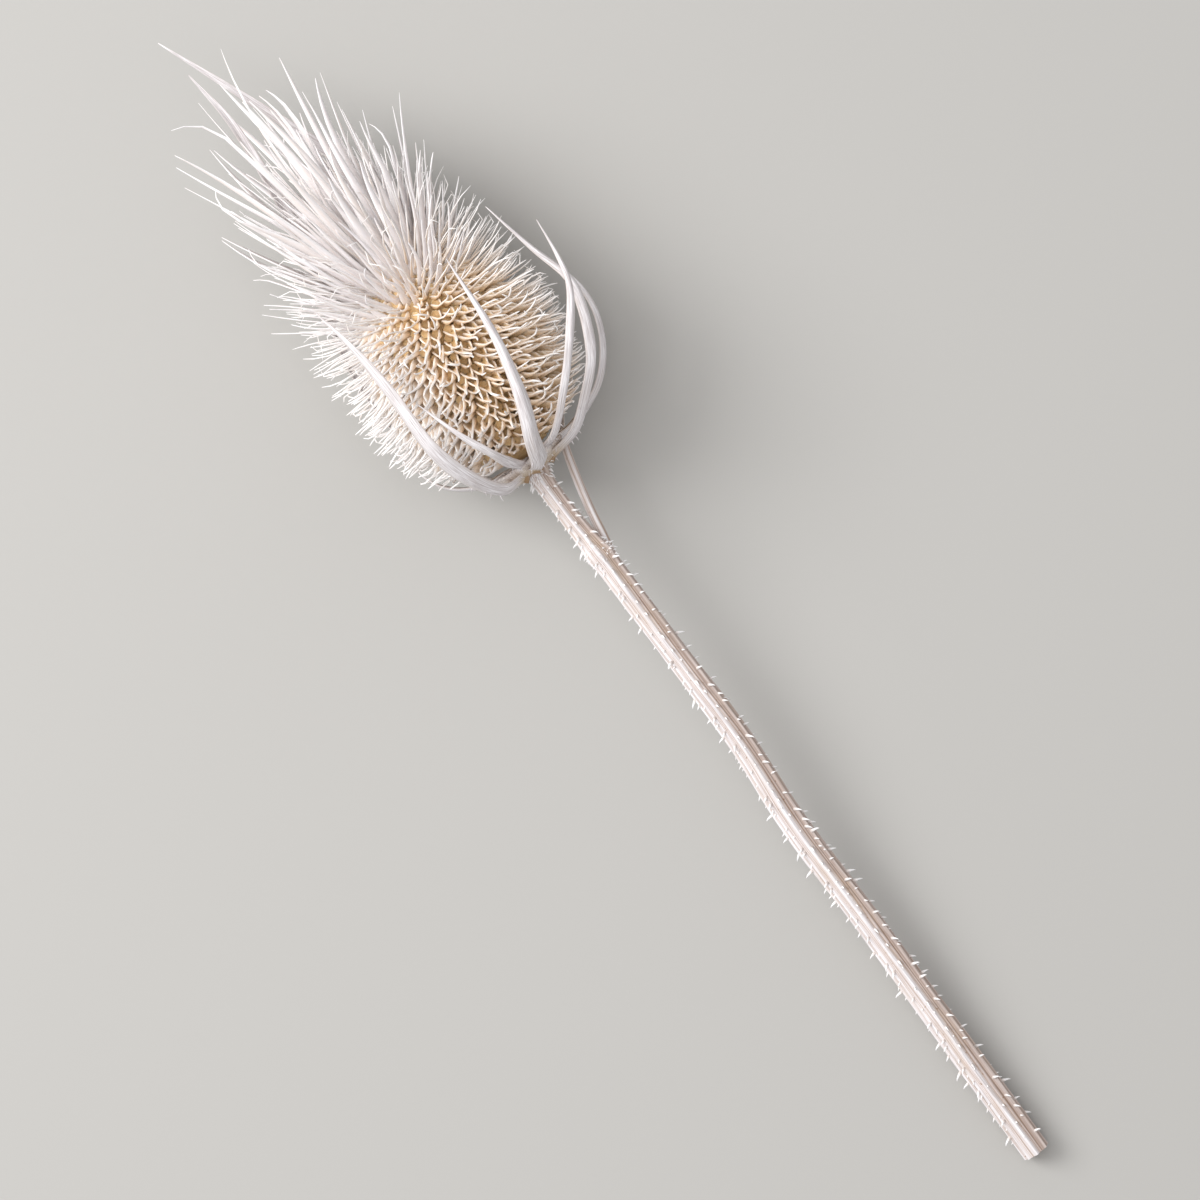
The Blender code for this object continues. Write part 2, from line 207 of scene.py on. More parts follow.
def bend_strips(
        name, strip, centres, across, width, fold, thick, tone, frill=None, channel=False, painted_light=0):
    """Copies of a strip, each bent along its own row of centres, with its own row of sizes.

    A plain strip is folded like a V, with its margins on the line. A channel has steep walls like
    a U, and its line runs along the keel. Painted light makes a strip take the paler colours
    further up and keeps its hollow paler, as on a lit flank.
    """
    count = len(centres)
    mesh, (x, y, z) = repeat_mesh(strip, count, name)
    copy, ring = np.arange(count)[:, None], np.rint(y).astype(int)
    ahead = unit(np.gradient(centres, axis=1))
    flat = unit(across - ahead * (across * ahead).sum(-1, keepdims=True))
    keel = np.cross(flat, ahead)
    steep = WALL_STEEPNESS if channel else 1
    middle = (1 - np.abs(x)) ** steep
    deep = np.clip(fold[copy, ring] / DEEP_FOLD, 0, 1) if channel else 0
    half_thick = (z - 0.5) * thick[copy, ring]
    rise = fold[copy, ring] * (middle - channel)
    rise += half_thick * (middle + (1 - deep) * THIN_EDGE * (1 - middle))
    if frill is not None:
        rise += frill[copy, ring] * x * np.abs(x)
    reach = np.sign(x) * np.abs(x) ** steep * (width[copy, ring] / 2 + half_thick * deep)
    places = centres[copy, ring] + flat[copy, ring] * reach[..., None] + keel[copy, ring] * rise[..., None]
    places[..., 2] = np.maximum(places[..., 2], LOWEST)
    steps = np.linalg.norm(np.diff(centres, axis=1), axis=-1)
    walked = np.concatenate((np.zeros((count, 1)), np.cumsum(steps, axis=1)), axis=1)
    move_points(mesh, places)
    # painted light: on the lit flank the share is raised towards the paler colours and the hollow is kept
    # paler
    add_note(mesh, "share", ring / (centres.shape[1] - 1) + painted_light)
    add_note(mesh, "tone", np.broadcast_to(np.asarray(tone)[:, None], x.shape))
    add_note(mesh, "edge", np.abs(x))
    add_note(mesh, "inner", (1 - z) * (1 - 2 * painted_light))
    apart = np.broadcast_to(copy * GRAIN_SHIFT, x.shape)
    add_note(mesh, "grain", np.stack((walked[copy, ring] / MM, reach / MM, apart), -1))
    return mesh


print("notes kept by a bent strip: share, tone, edge, inner, grain")

# %% [markdown]
# ## Colours and shared effects
# The head was bleached, so everything is nearly white, and only the depths keep the ochre of the
# dry plant. Two effects come back in every finish: long fine fibres, and soft stains. Each is a
# group of nodes with its own inputs, built once, and placed in each material with other values.

# %% Colours as they show on a screen
def screen_color(red, green, blue):
    """A colour given as 0 to 255 on a screen, as the renderer wants it."""
    return tuple(((c / 255 + 0.055) / 1.055) ** 2.4 for c in (red, green, blue)) + (1,)


BRACT_WHITE = screen_color(239, 235, 236)
BRACT_VEIN = screen_color(182, 172, 169)
BRACT_MARGIN = screen_color(220, 210, 204)
BRACT_FOOT = screen_color(214, 196, 172)
BROWN_SPOT = screen_color(178, 148, 114)
AWN_DEEP = screen_color(236, 203, 148)
AWN_OCHRE = screen_color(247, 224, 184)
AWN_CREAM = screen_color(254, 231, 202)
AWN_PALE = screen_color(254, 238, 222)
AWN_TIP = screen_color(250, 248, 248)
RIM_CREAM = screen_color(253, 243, 232)
BRISTLE_WHITE = screen_color(247, 244, 248)
NUT_OCHRE = screen_color(232, 199, 144)
NUT_RIM = screen_color(246, 224, 184)
RIB_WHITE = screen_color(242, 239, 241)
RIB_FLANK = screen_color(234, 228, 229)
FURROW = screen_color(212, 199, 192)
# beige for the painted shade at the bottom of the stem's grooves, and for the fibres of rind and pith
GROOVE_SHADE_AND_FIBRE_BEIGE = screen_color(180, 160, 146)
SPECK_BROWN = screen_color(150, 118, 92)
# tan for the painted shade on the stem's side away from the lamp
PAINTED_SHADE_TAN = screen_color(200, 182, 168)
STAIN_BROWN = screen_color(190, 166, 140)
PITH_CREAM = screen_color(232, 219, 196)
CORE_OCHRE = screen_color(230, 200, 154)
FLOOR_GREY = screen_color(178, 176, 172)
print("the whitest colour reflects", round(max(AWN_TIP[:3]), 2))

# %% Small helpers for nodes
def put(tree, kind, values=None, **settings):
    """Add a node with its settings. Each of its inputs gets a value, or a link from a socket."""
    node = tree.nodes.new(kind)
    for name, value in settings.items():
        setattr(node, name, value)
    for name, value in (values or {}).items():
        if isinstance(value, bpy.types.NodeSocket):
            tree.links.new(value, node.inputs[name])
        else:
            node.inputs[name].default_value = value
    return node


def mix_colors(tree, factor, first, second, blend="MIX"):
    """A mix of two colours."""
    values = {0: factor, 6: first, 7: second}
    return put(tree, "ShaderNodeMix", values, data_type="RGBA", blend_type=blend).outputs[2]


def multiply(tree, first, second):
    """The product of two numbers."""
    return put(tree, "ShaderNodeMath", {0: first, 1: second}, operation="MULTIPLY").outputs[0]


def climb(tree, value, low, high, top=1.0):
    """A number that goes from 0 to top while another goes from low to high."""
    values = {"Value": value, "From Min": low, "From Max": high, "To Max": top}
    return put(tree, "ShaderNodeMapRange", values).outputs["Result"]


def clouds(tree, place, scale, detail, roughness):
    """Soft random patches from 0 to 1."""
    values = {"Vector": place, "Scale": scale, "Detail": detail, "Roughness": roughness}
    return put(tree, "ShaderNodeTexNoise", values).outputs["Fac"]


def new_group(name, inputs, outputs):
    """An empty group of shader nodes with named sockets."""
    group = bpy.data.node_groups.new(name, "ShaderNodeTree")
    for direction, sockets in (("INPUT", inputs), ("OUTPUT", outputs)):
        for label, kind in sockets:
            group.interface.new_socket(name=label, in_out=direction, socket_type="NodeSocket" + kind)
    return group, put(group, "NodeGroupInput").outputs, put(group, "NodeGroupOutput").inputs


print("helpers ready: put, mix_colors, multiply, climb, clouds, new_group")

# %% [markdown]
# ### Fibres
# Dried leaf, bark and awn all show lines that run along them. Noise that is stretched along the
# grain gives such lines. The group puts out a mask for the colour and a height for the bump.

# %% The group of fibres
ALONG_THE_GRAIN = (0.035, 1, 1)
fibres, given, result = new_group(
    "fibres", (("Grain", "Vector"), ("Width", "Float")), (("Mask", "Float"), ("Height", "Float")))
finer = put(fibres, "ShaderNodeMath", {0: 1.0, 1: given["Width"]}, operation="DIVIDE").outputs[0]
scaled = put(fibres, "ShaderNodeVectorMath", {0: given["Grain"], "Scale": finer}, operation="SCALE")
stretched = put(
    fibres, "ShaderNodeVectorMath", {0: scaled.outputs[0], 1: ALONG_THE_GRAIN}, operation="MULTIPLY")
lines = clouds(fibres, stretched.outputs[0], 1.0, 4.0, 0.6)
fibres.links.new(climb(fibres, lines, 0.38, 0.66), result["Mask"])
fibres.links.new(lines, result["Height"])
print("fibres:", len(fibres.nodes), "nodes")

# %% [markdown]
# ### Stains
# Bleach never takes all of the colour out: faint patches stay, a few millimetres wide. This group
# lays a stain colour over another colour, in patches, by an amount.

# %% The group of stains
STAIN_STRETCH = (0.09, 0.35, 0.35)
stains, given, result = new_group(
    "stains", (("Grain", "Vector"), ("Color", "Color"), ("Stain", "Color"), ("Amount", "Float")),
    (("Color", "Color"),))
squeezed = put(stains, "ShaderNodeVectorMath", {0: given["Grain"], 1: STAIN_STRETCH}, operation="MULTIPLY")
islands = climb(stains, clouds(stains, squeezed.outputs[0], 1.0, 5.0, 0.65), 0.5, 0.78)
stained = mix_colors(stains, multiply(stains, islands, given["Amount"]), given["Color"], given["Stain"])
stains.links.new(stained, result["Color"])
print("stains:", len(stains.nodes), "nodes")

# %% [markdown]
# ### A material with fibres and stains
# Each finish below starts the same way: it reads the notes of its mesh, asks the groups for lines
# and patches, and feeds one shader. What differs is the colour in between.

# %% Helpers for the finishes
def read_note(tree, name, output="Fac"):
    """The socket of a note that the mesh carries."""
    return put(tree, "ShaderNodeAttribute", attribute_name=name).outputs[output]


def color_ramp(tree, factor, stops):
    """A colour for each value of a factor, with smooth runs between the stops."""
    node = put(tree, "ShaderNodeValToRGB", {"Fac": factor})
    ramp = node.color_ramp
    while len(ramp.elements) < len(stops):
        ramp.elements.new(0.5)
    for element, (place, color) in zip(ramp.elements, stops):
        element.position = place
        element.color = color
    return node.outputs["Color"]


def start_finish(name, fibre_width, roughness):
    """A new material, with its tree, its grain and its fibres."""
    finish = bpy.data.materials.new(name)
    finish.use_nodes = True
    tree = finish.node_tree
    shader = tree.nodes["Principled BSDF"]
    shader.inputs["Roughness"].default_value = roughness
    shader.inputs["Specular IOR Level"].default_value = 0.3
    grain = read_note(tree, "grain", "Vector")
    lined = put(tree, "ShaderNodeGroup", {"Grain": grain, "Width": fibre_width}, node_tree=fibres).outputs
    return finish, tree, grain, lined


def end_finish(tree, grain, lined, color, amount, bump_depth):
    """Lay stains over the colour, and raise the fibres."""
    shader = tree.nodes["Principled BSDF"].inputs
    values = {"Grain": grain, "Color": color, "Stain": STAIN_BROWN, "Amount": amount}
    patched = put(tree, "ShaderNodeGroup", values, node_tree=stains)
    values = {"Height": lined["Height"], "Strength": 0.6, "Distance": bump_depth}
    tree.links.new(patched.outputs["Color"], shader["Base Color"])
    tree.links.new(put(tree, "ShaderNodeBump", values).outputs["Normal"], shader["Normal"])


print("a finish reads: grain, and the notes that it asks for")

# %% [markdown]
# ### The bracts' skin
# A bract is a stiff white leaf with a faint lilac cast, fine grey veins and a warmer margin. At
# its foot it turns cream, and a brown spot shows where it joins the stalk.

# %% Bract skin
bract_skin, tree, grain, lined = start_finish("bract_skin", 0.17, 0.55)
along = color_ramp(tree, read_note(tree, "share"), (
    (0.0, BROWN_SPOT), (0.08, BROWN_SPOT), (0.13, BRACT_FOOT), (0.22, BRACT_WHITE)))
veined = mix_colors(tree, lined["Mask"], along, BRACT_VEIN, "MULTIPLY")
faint = mix_colors(tree, 0.75, along, veined)
edged = mix_colors(tree, climb(tree, read_note(tree, "edge"), 0.75, 1.0, 0.6), faint, BRACT_MARGIN)
end_finish(tree, grain, lined, edged, 0.16, 0.08 * MM)
print("made", bract_skin.name)

# %% [markdown]
# ### The awns' horn
# A scale of the head is ochre in the hollow of its channel, where the bleach never reached, cream
# on its back and along its awn, and white at its margins and its tip. So the colour follows the
# share from root to tip, and each scale is a little lighter or darker than the next.

# %% Awn horn
DARKEST_TONE = (0.88, 0.85, 0.81, 1)
LIGHTEST_TONE = (1, 1, 1, 1)


def make_awn_finish(name, stops, rim_stops, stain_amount, hollow):
    """A finish for scales or bristles, by their colours from root to tip and the hollow's strength."""
    horn, tree, grain, lined = start_finish(name, 0.12, 0.5)
    share = read_note(tree, "share")
    lighter = color_ramp(tree, read_note(tree, "tone"), ((0, DARKEST_TONE), (1, LIGHTEST_TONE)))
    toned = mix_colors(tree, 1.0, color_ramp(tree, share, stops), lighter, "MULTIPLY")
    streaked = mix_colors(tree, lined["Mask"], toned, AWN_CREAM, "MULTIPLY")
    drawn = mix_colors(tree, 0.35, toned, streaked)
    inside = multiply(tree, climb(tree, share, 0.55, 0.35, hollow), read_note(tree, "inner"))
    drawn = mix_colors(tree, inside, drawn, AWN_DEEP)
    rim = put(tree, "ShaderNodeMath", {0: read_note(tree, "edge"), 1: 3.0}, operation="POWER").outputs[0]
    bleached = multiply(tree, rim, climb(tree, share, 0.1, 0.25, 0.95))
    rimmed = mix_colors(tree, bleached, drawn, color_ramp(tree, share, rim_stops))
    end_finish(tree, grain, lined, rimmed, stain_amount, 0.04 * MM)
    return horn


scale_horn = make_awn_finish("scale_horn", (
    (0.0, AWN_DEEP), (0.14, AWN_OCHRE), (0.38, AWN_CREAM), (0.62, AWN_PALE), (0.86, AWN_TIP)),
    ((0.6, RIM_CREAM), (0.8, AWN_TIP)), 0.05, 0.9)
nut_husk = make_awn_finish("nut_husk", (
    (0.0, NUT_OCHRE), (0.7, NUT_OCHRE), (1.0, NUT_RIM)), ((0.0, NUT_RIM), (1.0, NUT_RIM)), 0.3, 0.0)
tuft_horn = make_awn_finish("tuft_horn", (
    (0.0, AWN_CREAM), (0.06, AWN_PALE), (0.16, BRISTLE_WHITE), (1.0, BRISTLE_WHITE)),
    ((0.0, AWN_TIP), (1.0, AWN_TIP)), 0.04, 0.0)
print("made", scale_horn.name, tuft_horn.name, "and", nut_husk.name)

# %% [markdown]
# ### The stem's rind and pith
# The stem's ribs stand proud and are rubbed white, and the grooves between keep a pinkish beige,
# with a line of painted shade at the bottom of each groove. The note called ridge says which is
# which. The rind is also browned on one side as painted shade, by the note called shade.
# Inside, at the cut, there is soft cream pith.

# %% Stem rind, prickle, pith and core
stem_rind, tree, grain, lined = start_finish("stem_rind", 0.3, 0.6)
ridge = read_note(tree, "ridge")
# painted shade: the darkest beige at ridge 0 darkens the bottom of each groove
ribs_and_groove_shade = color_ramp(tree, ridge, (
    (0.0, GROOVE_SHADE_AND_FIBRE_BEIGE), (0.06, FURROW), (0.16, RIB_FLANK), (0.24, FURROW), (0.42, RIB_FLANK),
    (0.7, RIB_WHITE)))
woody = mix_colors(tree, lined["Mask"], ribs_and_groove_shade, GROOVE_SHADE_AND_FIBRE_BEIGE, "MULTIPLY")
drawn = mix_colors(tree, 0.45, ribs_and_groove_shade, woody)
rare = climb(tree, clouds(tree, grain, 1.6, 2.0, 0.5), 0.66, 0.74, 0.75)
specks = multiply(tree, rare, climb(tree, ridge, 0.45, 0.1))
specked = mix_colors(tree, specks, drawn, SPECK_BROWN)
# painted shade: the rind is browned on the side away from the lamp
painted_shade_side = climb(tree, read_note(tree, "shade"), 0.7, 0.84, 0.75)
shaded_rind = mix_colors(tree, painted_shade_side, specked, PAINTED_SHADE_TAN, "MULTIPLY")
end_finish(tree, grain, lined, shaded_rind, 0.5, 0.14 * MM)

prickle_horn, tree, grain, lined = start_finish("prickle_horn", 0.15, 0.5)
along = color_ramp(tree, read_note(tree, "share"), ((0.0, BRACT_MARGIN), (0.5, AWN_TIP), (1.0, AWN_TIP)))
end_finish(tree, grain, lined, along, 0.15, 0.03 * MM)

pith, tree, grain, lined = start_finish("pith", 0.5, 0.9)
spongy = mix_colors(tree, lined["Mask"], PITH_CREAM, GROOVE_SHADE_AND_FIBRE_BEIGE)
end_finish(tree, grain, lined, spongy, 0.3, 0.1 * MM)

core_chaff, tree, grain, lined = start_finish("core_chaff", 0.6, 0.8)
rough = mix_colors(tree, lined["Mask"], CORE_OCHRE, AWN_DEEP)
end_finish(tree, grain, lined, rough, 0.4, 0.3 * MM)
print("made", stem_rind.name, prickle_horn.name, pith.name, core_chaff.name)

# %% [markdown]
# ## Putting a piece in the scene
# Every finished mesh becomes a piece in the same way: it is shaded smooth, rides on the one body
# that the model has, and stands for a CAD solid, which it hides.

# %% Add a piece
def add_object(name, data):
    """A new object in the scene."""
    thing = bpy.data.objects.new(name, data)
    bpy.context.scene.collection.objects.link(thing)
    return thing


def add_piece(name, mesh, finishes, node):
    """Put a mesh in the scene as a piece that stands for a CAD node."""
    mesh.shade_smooth()
    for finish in finishes:
        mesh.materials.append(finish)
    piece = add_object(name, mesh)
    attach(piece, "root")
    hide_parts(node)
    mesh.calc_loop_triangles()
    print(f"{name}: {len(mesh.loop_triangles)} triangles")


# %% [markdown]
# ## The stem
# A teasel's stem has eight rounded ribs, swells where a shoot leaves it, and widens into a collar
# under the head. It could be a curve with a bevel, but then every rib would be alike. Here a ring
# is drawn with a circle and extruded ring by ring, so that each ring can have its own ribs. One
# side, at the right in the picture, away from the lamp, is painted browner as painted shade.

# %% The stem's line
STEM_LENGTH = 158 * MM
STEM_END_HEIGHT = 2.8 * MM
STEM_POINTS = (
    (-0.3, 0.0, 4.1), (0.9, -0.1, 4.1), (2.6, -0.4, 2.7), (6.0, -0.5, 2.0), (14.0, -0.4, 1.95),
    (20.0, -0.1, 2.35), (25.0, 0.1, 2.4), (45.0, 0.3, 2.4), (63.0, 0.5, 2.5), (83.0, -0.7, 2.6),
    (107.0, -0.4, 2.65), (133.0, -0.5, 2.75), (158.0, -0.6, 2.8))
SHOOT_POINTS = (
    (26.0, 0.2, -0.4, 1.2), (21.0, 1.9, -1.2, 1.1), (14.0, 3.3, -2.2, 0.95),
    (8.0, 4.7, -3.3, 0.9), (3.0, 6.1, -4.5, 0.85), (-1.2, 7.6, -5.6, 0.8))
STEM_RINGS = 240
STEM_SIDES = 128
RIBS = 8
RIB_DEPTH = 0.19
# where the painted shade on the stem is strongest, on the side away from the lamp
PAINTED_SHADE_TURN = math.radians(18)
NODE_PLACE = 21.5 * MM
NODE_REACH = 1.6 * MM
NODE_RISE = 0.35 * MM


def stem_place(distance, side):
    """Places on the stem's centre line, by distance from the base and offset to the side."""
    fall = (BASE[2] - STEM_END_HEIGHT) * distance / STEM_LENGTH
    return np.stack((BASE[0] + distance, BASE[1] + side, BASE[2] - fall), -1)


stem_distance, stem_side, stem_radius = smooth_path(STEM_POINTS, STEM_RINGS).T * MM
stem_line = stem_place(stem_distance, stem_side)
stem_radius = stem_radius + NODE_RISE * np.exp(-((stem_distance - NODE_PLACE) / NODE_REACH) ** 2)
print("the stem is", round(stem_radius.max() / MM * 2, 1), "mm thick at its thickest")

# %% Extrude a ring along a line
WANDER_LENGTH = 22 * MM
WANDER_ROUND = 1.4
WANDER = 0.9
RIB_SHARPNESS = 2.6
FINE_RIBS = 4            # fine ribs for each broad one
FINE_RIB_HEIGHT = 0.17


def add_notes_layers(bm):
    """The layers that become the notes of a tube. Shade is 1 on the side where painted shade browns the
    rind.
    """
    bm.verts.layers.float.new("shade")
    return (bm.verts.layers.float.new("turn"), bm.verts.layers.float.new("ridge"),
            bm.verts.layers.float_vector.new("grain"))


def rib_height(turn, distance, ribs):
    """0 in a furrow and 1 on a rib. The ribs are narrow, unevenly spaced, and wander a little."""
    round_place = (WANDER_ROUND * math.cos(turn), WANDER_ROUND * math.sin(turn))
    drift = noise.noise(Vector((distance / WANDER_LENGTH, *round_place)))
    uneven = 0.09 * math.sin(2 * turn + 0.8) + 0.05 * math.sin(3 * turn)
    place = ribs * (turn + uneven) + WANDER * drift
    main = (0.5 + 0.5 * math.cos(place)) ** RIB_SHARPNESS
    fine = 0.5 + 0.5 * math.cos(FINE_RIBS * (place + drift))
    return min(1, max(0, main * (0.85 + 0.45 * drift) + FINE_RIB_HEIGHT * fine))


def rind_reach(turn, distance, radius):
    """How far the rind stands from the stem's centre line, on a rib or in a furrow."""
    return radius * (1 - RIB_DEPTH * (1 - rib_height(turn, distance, RIBS)))


def start_ring(bm, sides, turn):
    """A ring of points that note their own turn. Returns its points and its edges."""
    ring = bmesh.ops.create_circle(bm, segments=sides, radius=1)["verts"]
    for vert in ring:
        vert[turn] = math.atan2(vert.co.y, vert.co.x)
    return ring, list({edge for vert in ring for edge in vert.link_edges})


def pull_ring(bm, edges):
    """Extrude a ring of edges. Returns the new points and edges, and the faces on the way."""
    grown = bmesh.ops.extrude_edge_only(bm, edges=edges)["geom"]
    ring = of_kind(grown, bmesh.types.BMVert)
    inside = set(ring)
    edges = [edge for edge in of_kind(grown, bmesh.types.BMEdge) if inside.issuperset(edge.verts)]
    return ring, edges, of_kind(grown, bmesh.types.BMFace)


def close_ends(bm, *ends):
    """Fill rings of edges, and return their faces."""
    return [bmesh.ops.edgeloop_fill(bm, edges=loop)["faces"] for loop in ends]


def grow_tube(bm, layers, line, radii, sides, ribs, depths, frame_from=None):
    """Extrude a ring through the places of a line. Returns the faces of its last step and last cap."""
    turn, ridge, grain = layers
    shade = bm.verts.layers.float["shade"]
    ahead = unit(np.gradient(line if frame_from is None else frame_from, axis=0))
    ring, start = start_ring(bm, sides, turn)
    edges = start
    for index, (centre, radius, depth) in enumerate(zip(line, radii, depths)):
        if index:
            ring, edges, step = pull_ring(bm, edges)
        way = ahead[min(index, len(ahead) - 1)]
        level = unit(SIDE - way * way.dot(SIDE))
        top = np.cross(way, level)
        distance = centre[0] - BASE[0]
        for vert in ring:
            height = rib_height(vert[turn], distance, ribs)
            reach = radius * (1 - depth * (1 - height))
            flat = np.array((math.cos(vert[turn]), math.sin(vert[turn]))) * reach
            vert.co = Vector(centre + level * flat[0] + top * flat[1])
            vert[ridge] = height
            # painted shade: 1 on the side away from the lamp, falling off round the stem
            vert[shade] = 0.5 + 0.5 * math.cos(vert[turn] - PAINTED_SHADE_TURN)
            vert[grain] = Vector((distance, *flat)) / MM
    return step, close_ends(bm, start, edges)[1]


print("a ring has", RIBS, "ribs")

# %% [markdown]
# ### The cut end
# The photo's edge cuts the stem off, so it ends in a plain cut: a firm white rim, and soft pith
# that has shrunk back a little. Two more rings make it, one drawn in across the cut and one set
# back inside.

# %% Build the stem with its shoot
RIM_SHARE = 0.66
PITH_SHARE = 0.62
PITH_SUNK = 0.9 * MM
CUT_DEPTHS = (0.03, 0.0)
SHOOT_RINGS = 40
SHOOT_SIDES = 30
SHOOT_RIBS = 5
SHOOT_DEPTH = 0.16
SHARPEST_SMOOTH = math.radians(60)
bm = bmesh.new()
layers = add_notes_layers(bm)
end_way = unit(stem_line[-1] - stem_line[-2])
rings = np.vstack((stem_line, stem_line[-1], stem_line[-1] - end_way * PITH_SUNK))
radii = np.append(stem_radius, stem_radius[-1] * np.array((RIM_SHARE, PITH_SHARE)))
depths = np.append(np.full(STEM_RINGS, RIB_DEPTH), CUT_DEPTHS)
sunk, cap = grow_tube(bm, layers, rings, radii, STEM_SIDES, RIBS, depths, stem_line)
shoot_rows = smooth_path(SHOOT_POINTS, SHOOT_RINGS) * MM
shoot_line = stem_place(shoot_rows[:, 0], shoot_rows[:, 1]) + np.outer(shoot_rows[:, 2], (0, 0, 1))
shoot_depths = np.full(SHOOT_RINGS, SHOOT_DEPTH)
_, shoot_cap = grow_tube(
    bm, layers, shoot_line, shoot_rows[:, 3], SHOOT_SIDES, SHOOT_RIBS, shoot_depths)
for face in sunk + cap + shoot_cap:
    face.material_index = 1
stem_mesh = keep_mesh(bm, "stem_rind")
add_piece("stem_rind", stem_mesh, (stem_rind, pith), "stem")
stem_mesh.set_sharp_from_angle(angle=SHARPEST_SMOOTH)

# %% [markdown]
# ## Prickles
# Stiff prickles stand along the ribs, one or two millimetres long, broad at the foot and hooked
# towards the cut end. There are a few hundred with those on the bracts, so one prickle is made
# with few faces and copied, each copy turned and sized for its place.

# %% One prickle
THORN_STEPS = ((0.15, 0.66, 0.01), (0.45, 0.38, 0.05), (0.78, 0.2, 0.12), (1.0, 0.06, 0.22))
THORN_SUNK = 0.2
THORN_FLATNESS = 0.8


def draw_up(foot, steps):
    """A hexagon drawn up step by step, and its cap. A step is a height, a width and a hook."""
    bm = bmesh.new()
    bmesh.ops.create_circle(bm, cap_ends=True, segments=6, radius=0.5)
    bmesh.ops.translate(bm, verts=bm.verts[:], vec=(0, 0, foot))
    cap = bm.faces[:]
    for step, (rise, size, hook) in enumerate(steps):
        grown = bmesh.ops.extrude_face_region(bm, geom=cap, use_keep_orig=step == 0)["geom"]
        cap = of_kind(grown, bmesh.types.BMFace)
        middle = cap[0].calc_center_median()
        for vert in cap[0].verts:
            turned = (vert.co - middle).normalized() * size / 2
            vert.co = Vector((hook + turned.x, turned.y, rise))
    return bm, cap


def plant_thorns(name, feet, outwards, hooks, lengths, widths, foot_share=0.0):
    """Copies of the prickle at some feet, each standing out and hooked its own way."""
    mesh, copies = repeat_mesh(thorn, len(feet), name)
    x, y, z = copies[..., None]
    outwards = unit(outwards)
    forward = unit(hooks - outwards * (hooks * outwards).sum(-1, keepdims=True))
    across = np.cross(outwards, forward)
    wide, tall = widths[:, None, None], lengths[:, None, None]
    places = feet[:, None] + forward[:, None] * x * (wide * (1 - z) + tall * z)
    places = places + across[:, None] * y * wide * THORN_FLATNESS + outwards[:, None] * z * tall
    move_points(mesh, places)
    add_note(mesh, "share", foot_share + (1 - foot_share) * np.clip(z, 0, 1))
    add_note(mesh, "tone", 0.8)
    add_note(mesh, "edge", 0)
    started = np.broadcast_to(feet[:, None, :1], z.shape)
    add_note(mesh, "grain", np.concatenate((z * tall, y * wide, started), -1) / MM)
    return mesh


thorn = keep_mesh(draw_up(-THORN_SUNK, THORN_STEPS)[0], "thorn")
print("one prickle has", len(thorn.polygons), "faces")

# %% Prickles on the stem
FLOOR_GAP = 0.15 * MM
FIRST_PRICKLE = (4, 8)        # the range of its distance from the base, in millimetres
PRICKLE_STEP = (0.8, 4.8)     # the range of the distance to the next one on the same rib
PRICKLE_TURN = (-0.12, 0.12)
PRICKLE_LEAN = (-0.1, 0.5)
SHORTEST_PRICKLE = 0.5
PRICKLE_SPREAD = 1.2
BARE_END = 3 * MM
ON_THE_CREST = 0.97
TO_THE_CUT = np.array((1.0, 0.0, 0.0))
SKYWARDS = np.array((0.0, 0.0, 1.0))
draw = np.random.default_rng(SEED)
feet, outs, lengths = [], [], []
for rib in range(RIBS):
    distance = draw.uniform(*FIRST_PRICKLE) * MM
    while distance < STEM_LENGTH - BARE_END:
        turn = 2 * math.pi * rib / RIBS + draw.uniform(*PRICKLE_TURN)
        side = np.interp(distance, stem_distance, stem_side)
        radius = np.interp(distance, stem_distance, stem_radius)
        out = around(turn, SIDE, SKYWARDS)
        crest = stem_place(distance, side) + out * radius * ON_THE_CREST
        length = (SHORTEST_PRICKLE + PRICKLE_SPREAD * draw.random() ** 1.3) * MM
        if crest[2] + out[2] * length > FLOOR_GAP:
            feet.append(crest - out * (radius - rind_reach(turn, distance, radius)))
            outs.append(out + TO_THE_CUT * draw.uniform(*PRICKLE_LEAN))
            lengths.append(length)
        distance += draw.uniform(*PRICKLE_STEP) * MM
feet, outs, lengths = np.array(feet), np.array(outs), np.array(lengths)
stem_thorns = plant_thorns(
    "stem_prickles", feet, outs, TO_THE_CUT, lengths, 0.46 * MM + 0.32 * lengths)
print(len(feet), "prickles on the stem")

# %% [markdown]
# A dense fringe of finer prickles stands round the collar, just under the head, and a ring of
# fine hairs round the swollen node.

# %% Fringe and hairs
def ring_of_thorns(name, count, places, lengths, width, leans):
    """Thin prickles at random round the stem, by ranges of places, lengths and leans."""
    distance = draw.uniform(*places, count) * MM
    turn = draw.uniform(0, 2 * math.pi, count)
    out = around(turn, SIDE, SKYWARDS)
    radius = np.interp(distance, stem_distance, stem_radius)
    reach = np.array([rind_reach(*place) for place in zip(turn, distance, radius)])[:, None]
    middle = stem_place(distance, np.interp(distance, stem_distance, stem_side))
    feet = middle + out * reach * ON_THE_CREST
    long = draw.uniform(*lengths, count) * MM
    leaning = out + np.outer(draw.uniform(*leans, count), TO_THE_CUT)
    return plant_thorns(name, feet, leaning, TO_THE_CUT, long, np.full(count, width * MM))


collar = ring_of_thorns("collar", 120, (0.8, 4.6), (0.6, 1.6), 0.3, (0.1, 1.1))
fuzz = ring_of_thorns("fuzz", 90, (19.6, 23.4), (0.4, 0.9), 0.18, (-0.6, 0.6))
prickles = join_meshes("stem_prickles", (stem_thorns, collar, fuzz))
add_piece("stem_prickles", prickles, (prickle_horn,), "stem")

# %% [markdown]
# ## The bracts
# Ten long leaves spring from under the head and curve up round it. Each follows a line measured in
# the photo, faces outwards from the head, is folded along its midrib and ends in a needle. The
# edges ripple a little, as dry leaves do, and small prickles stand on the back of the midrib.

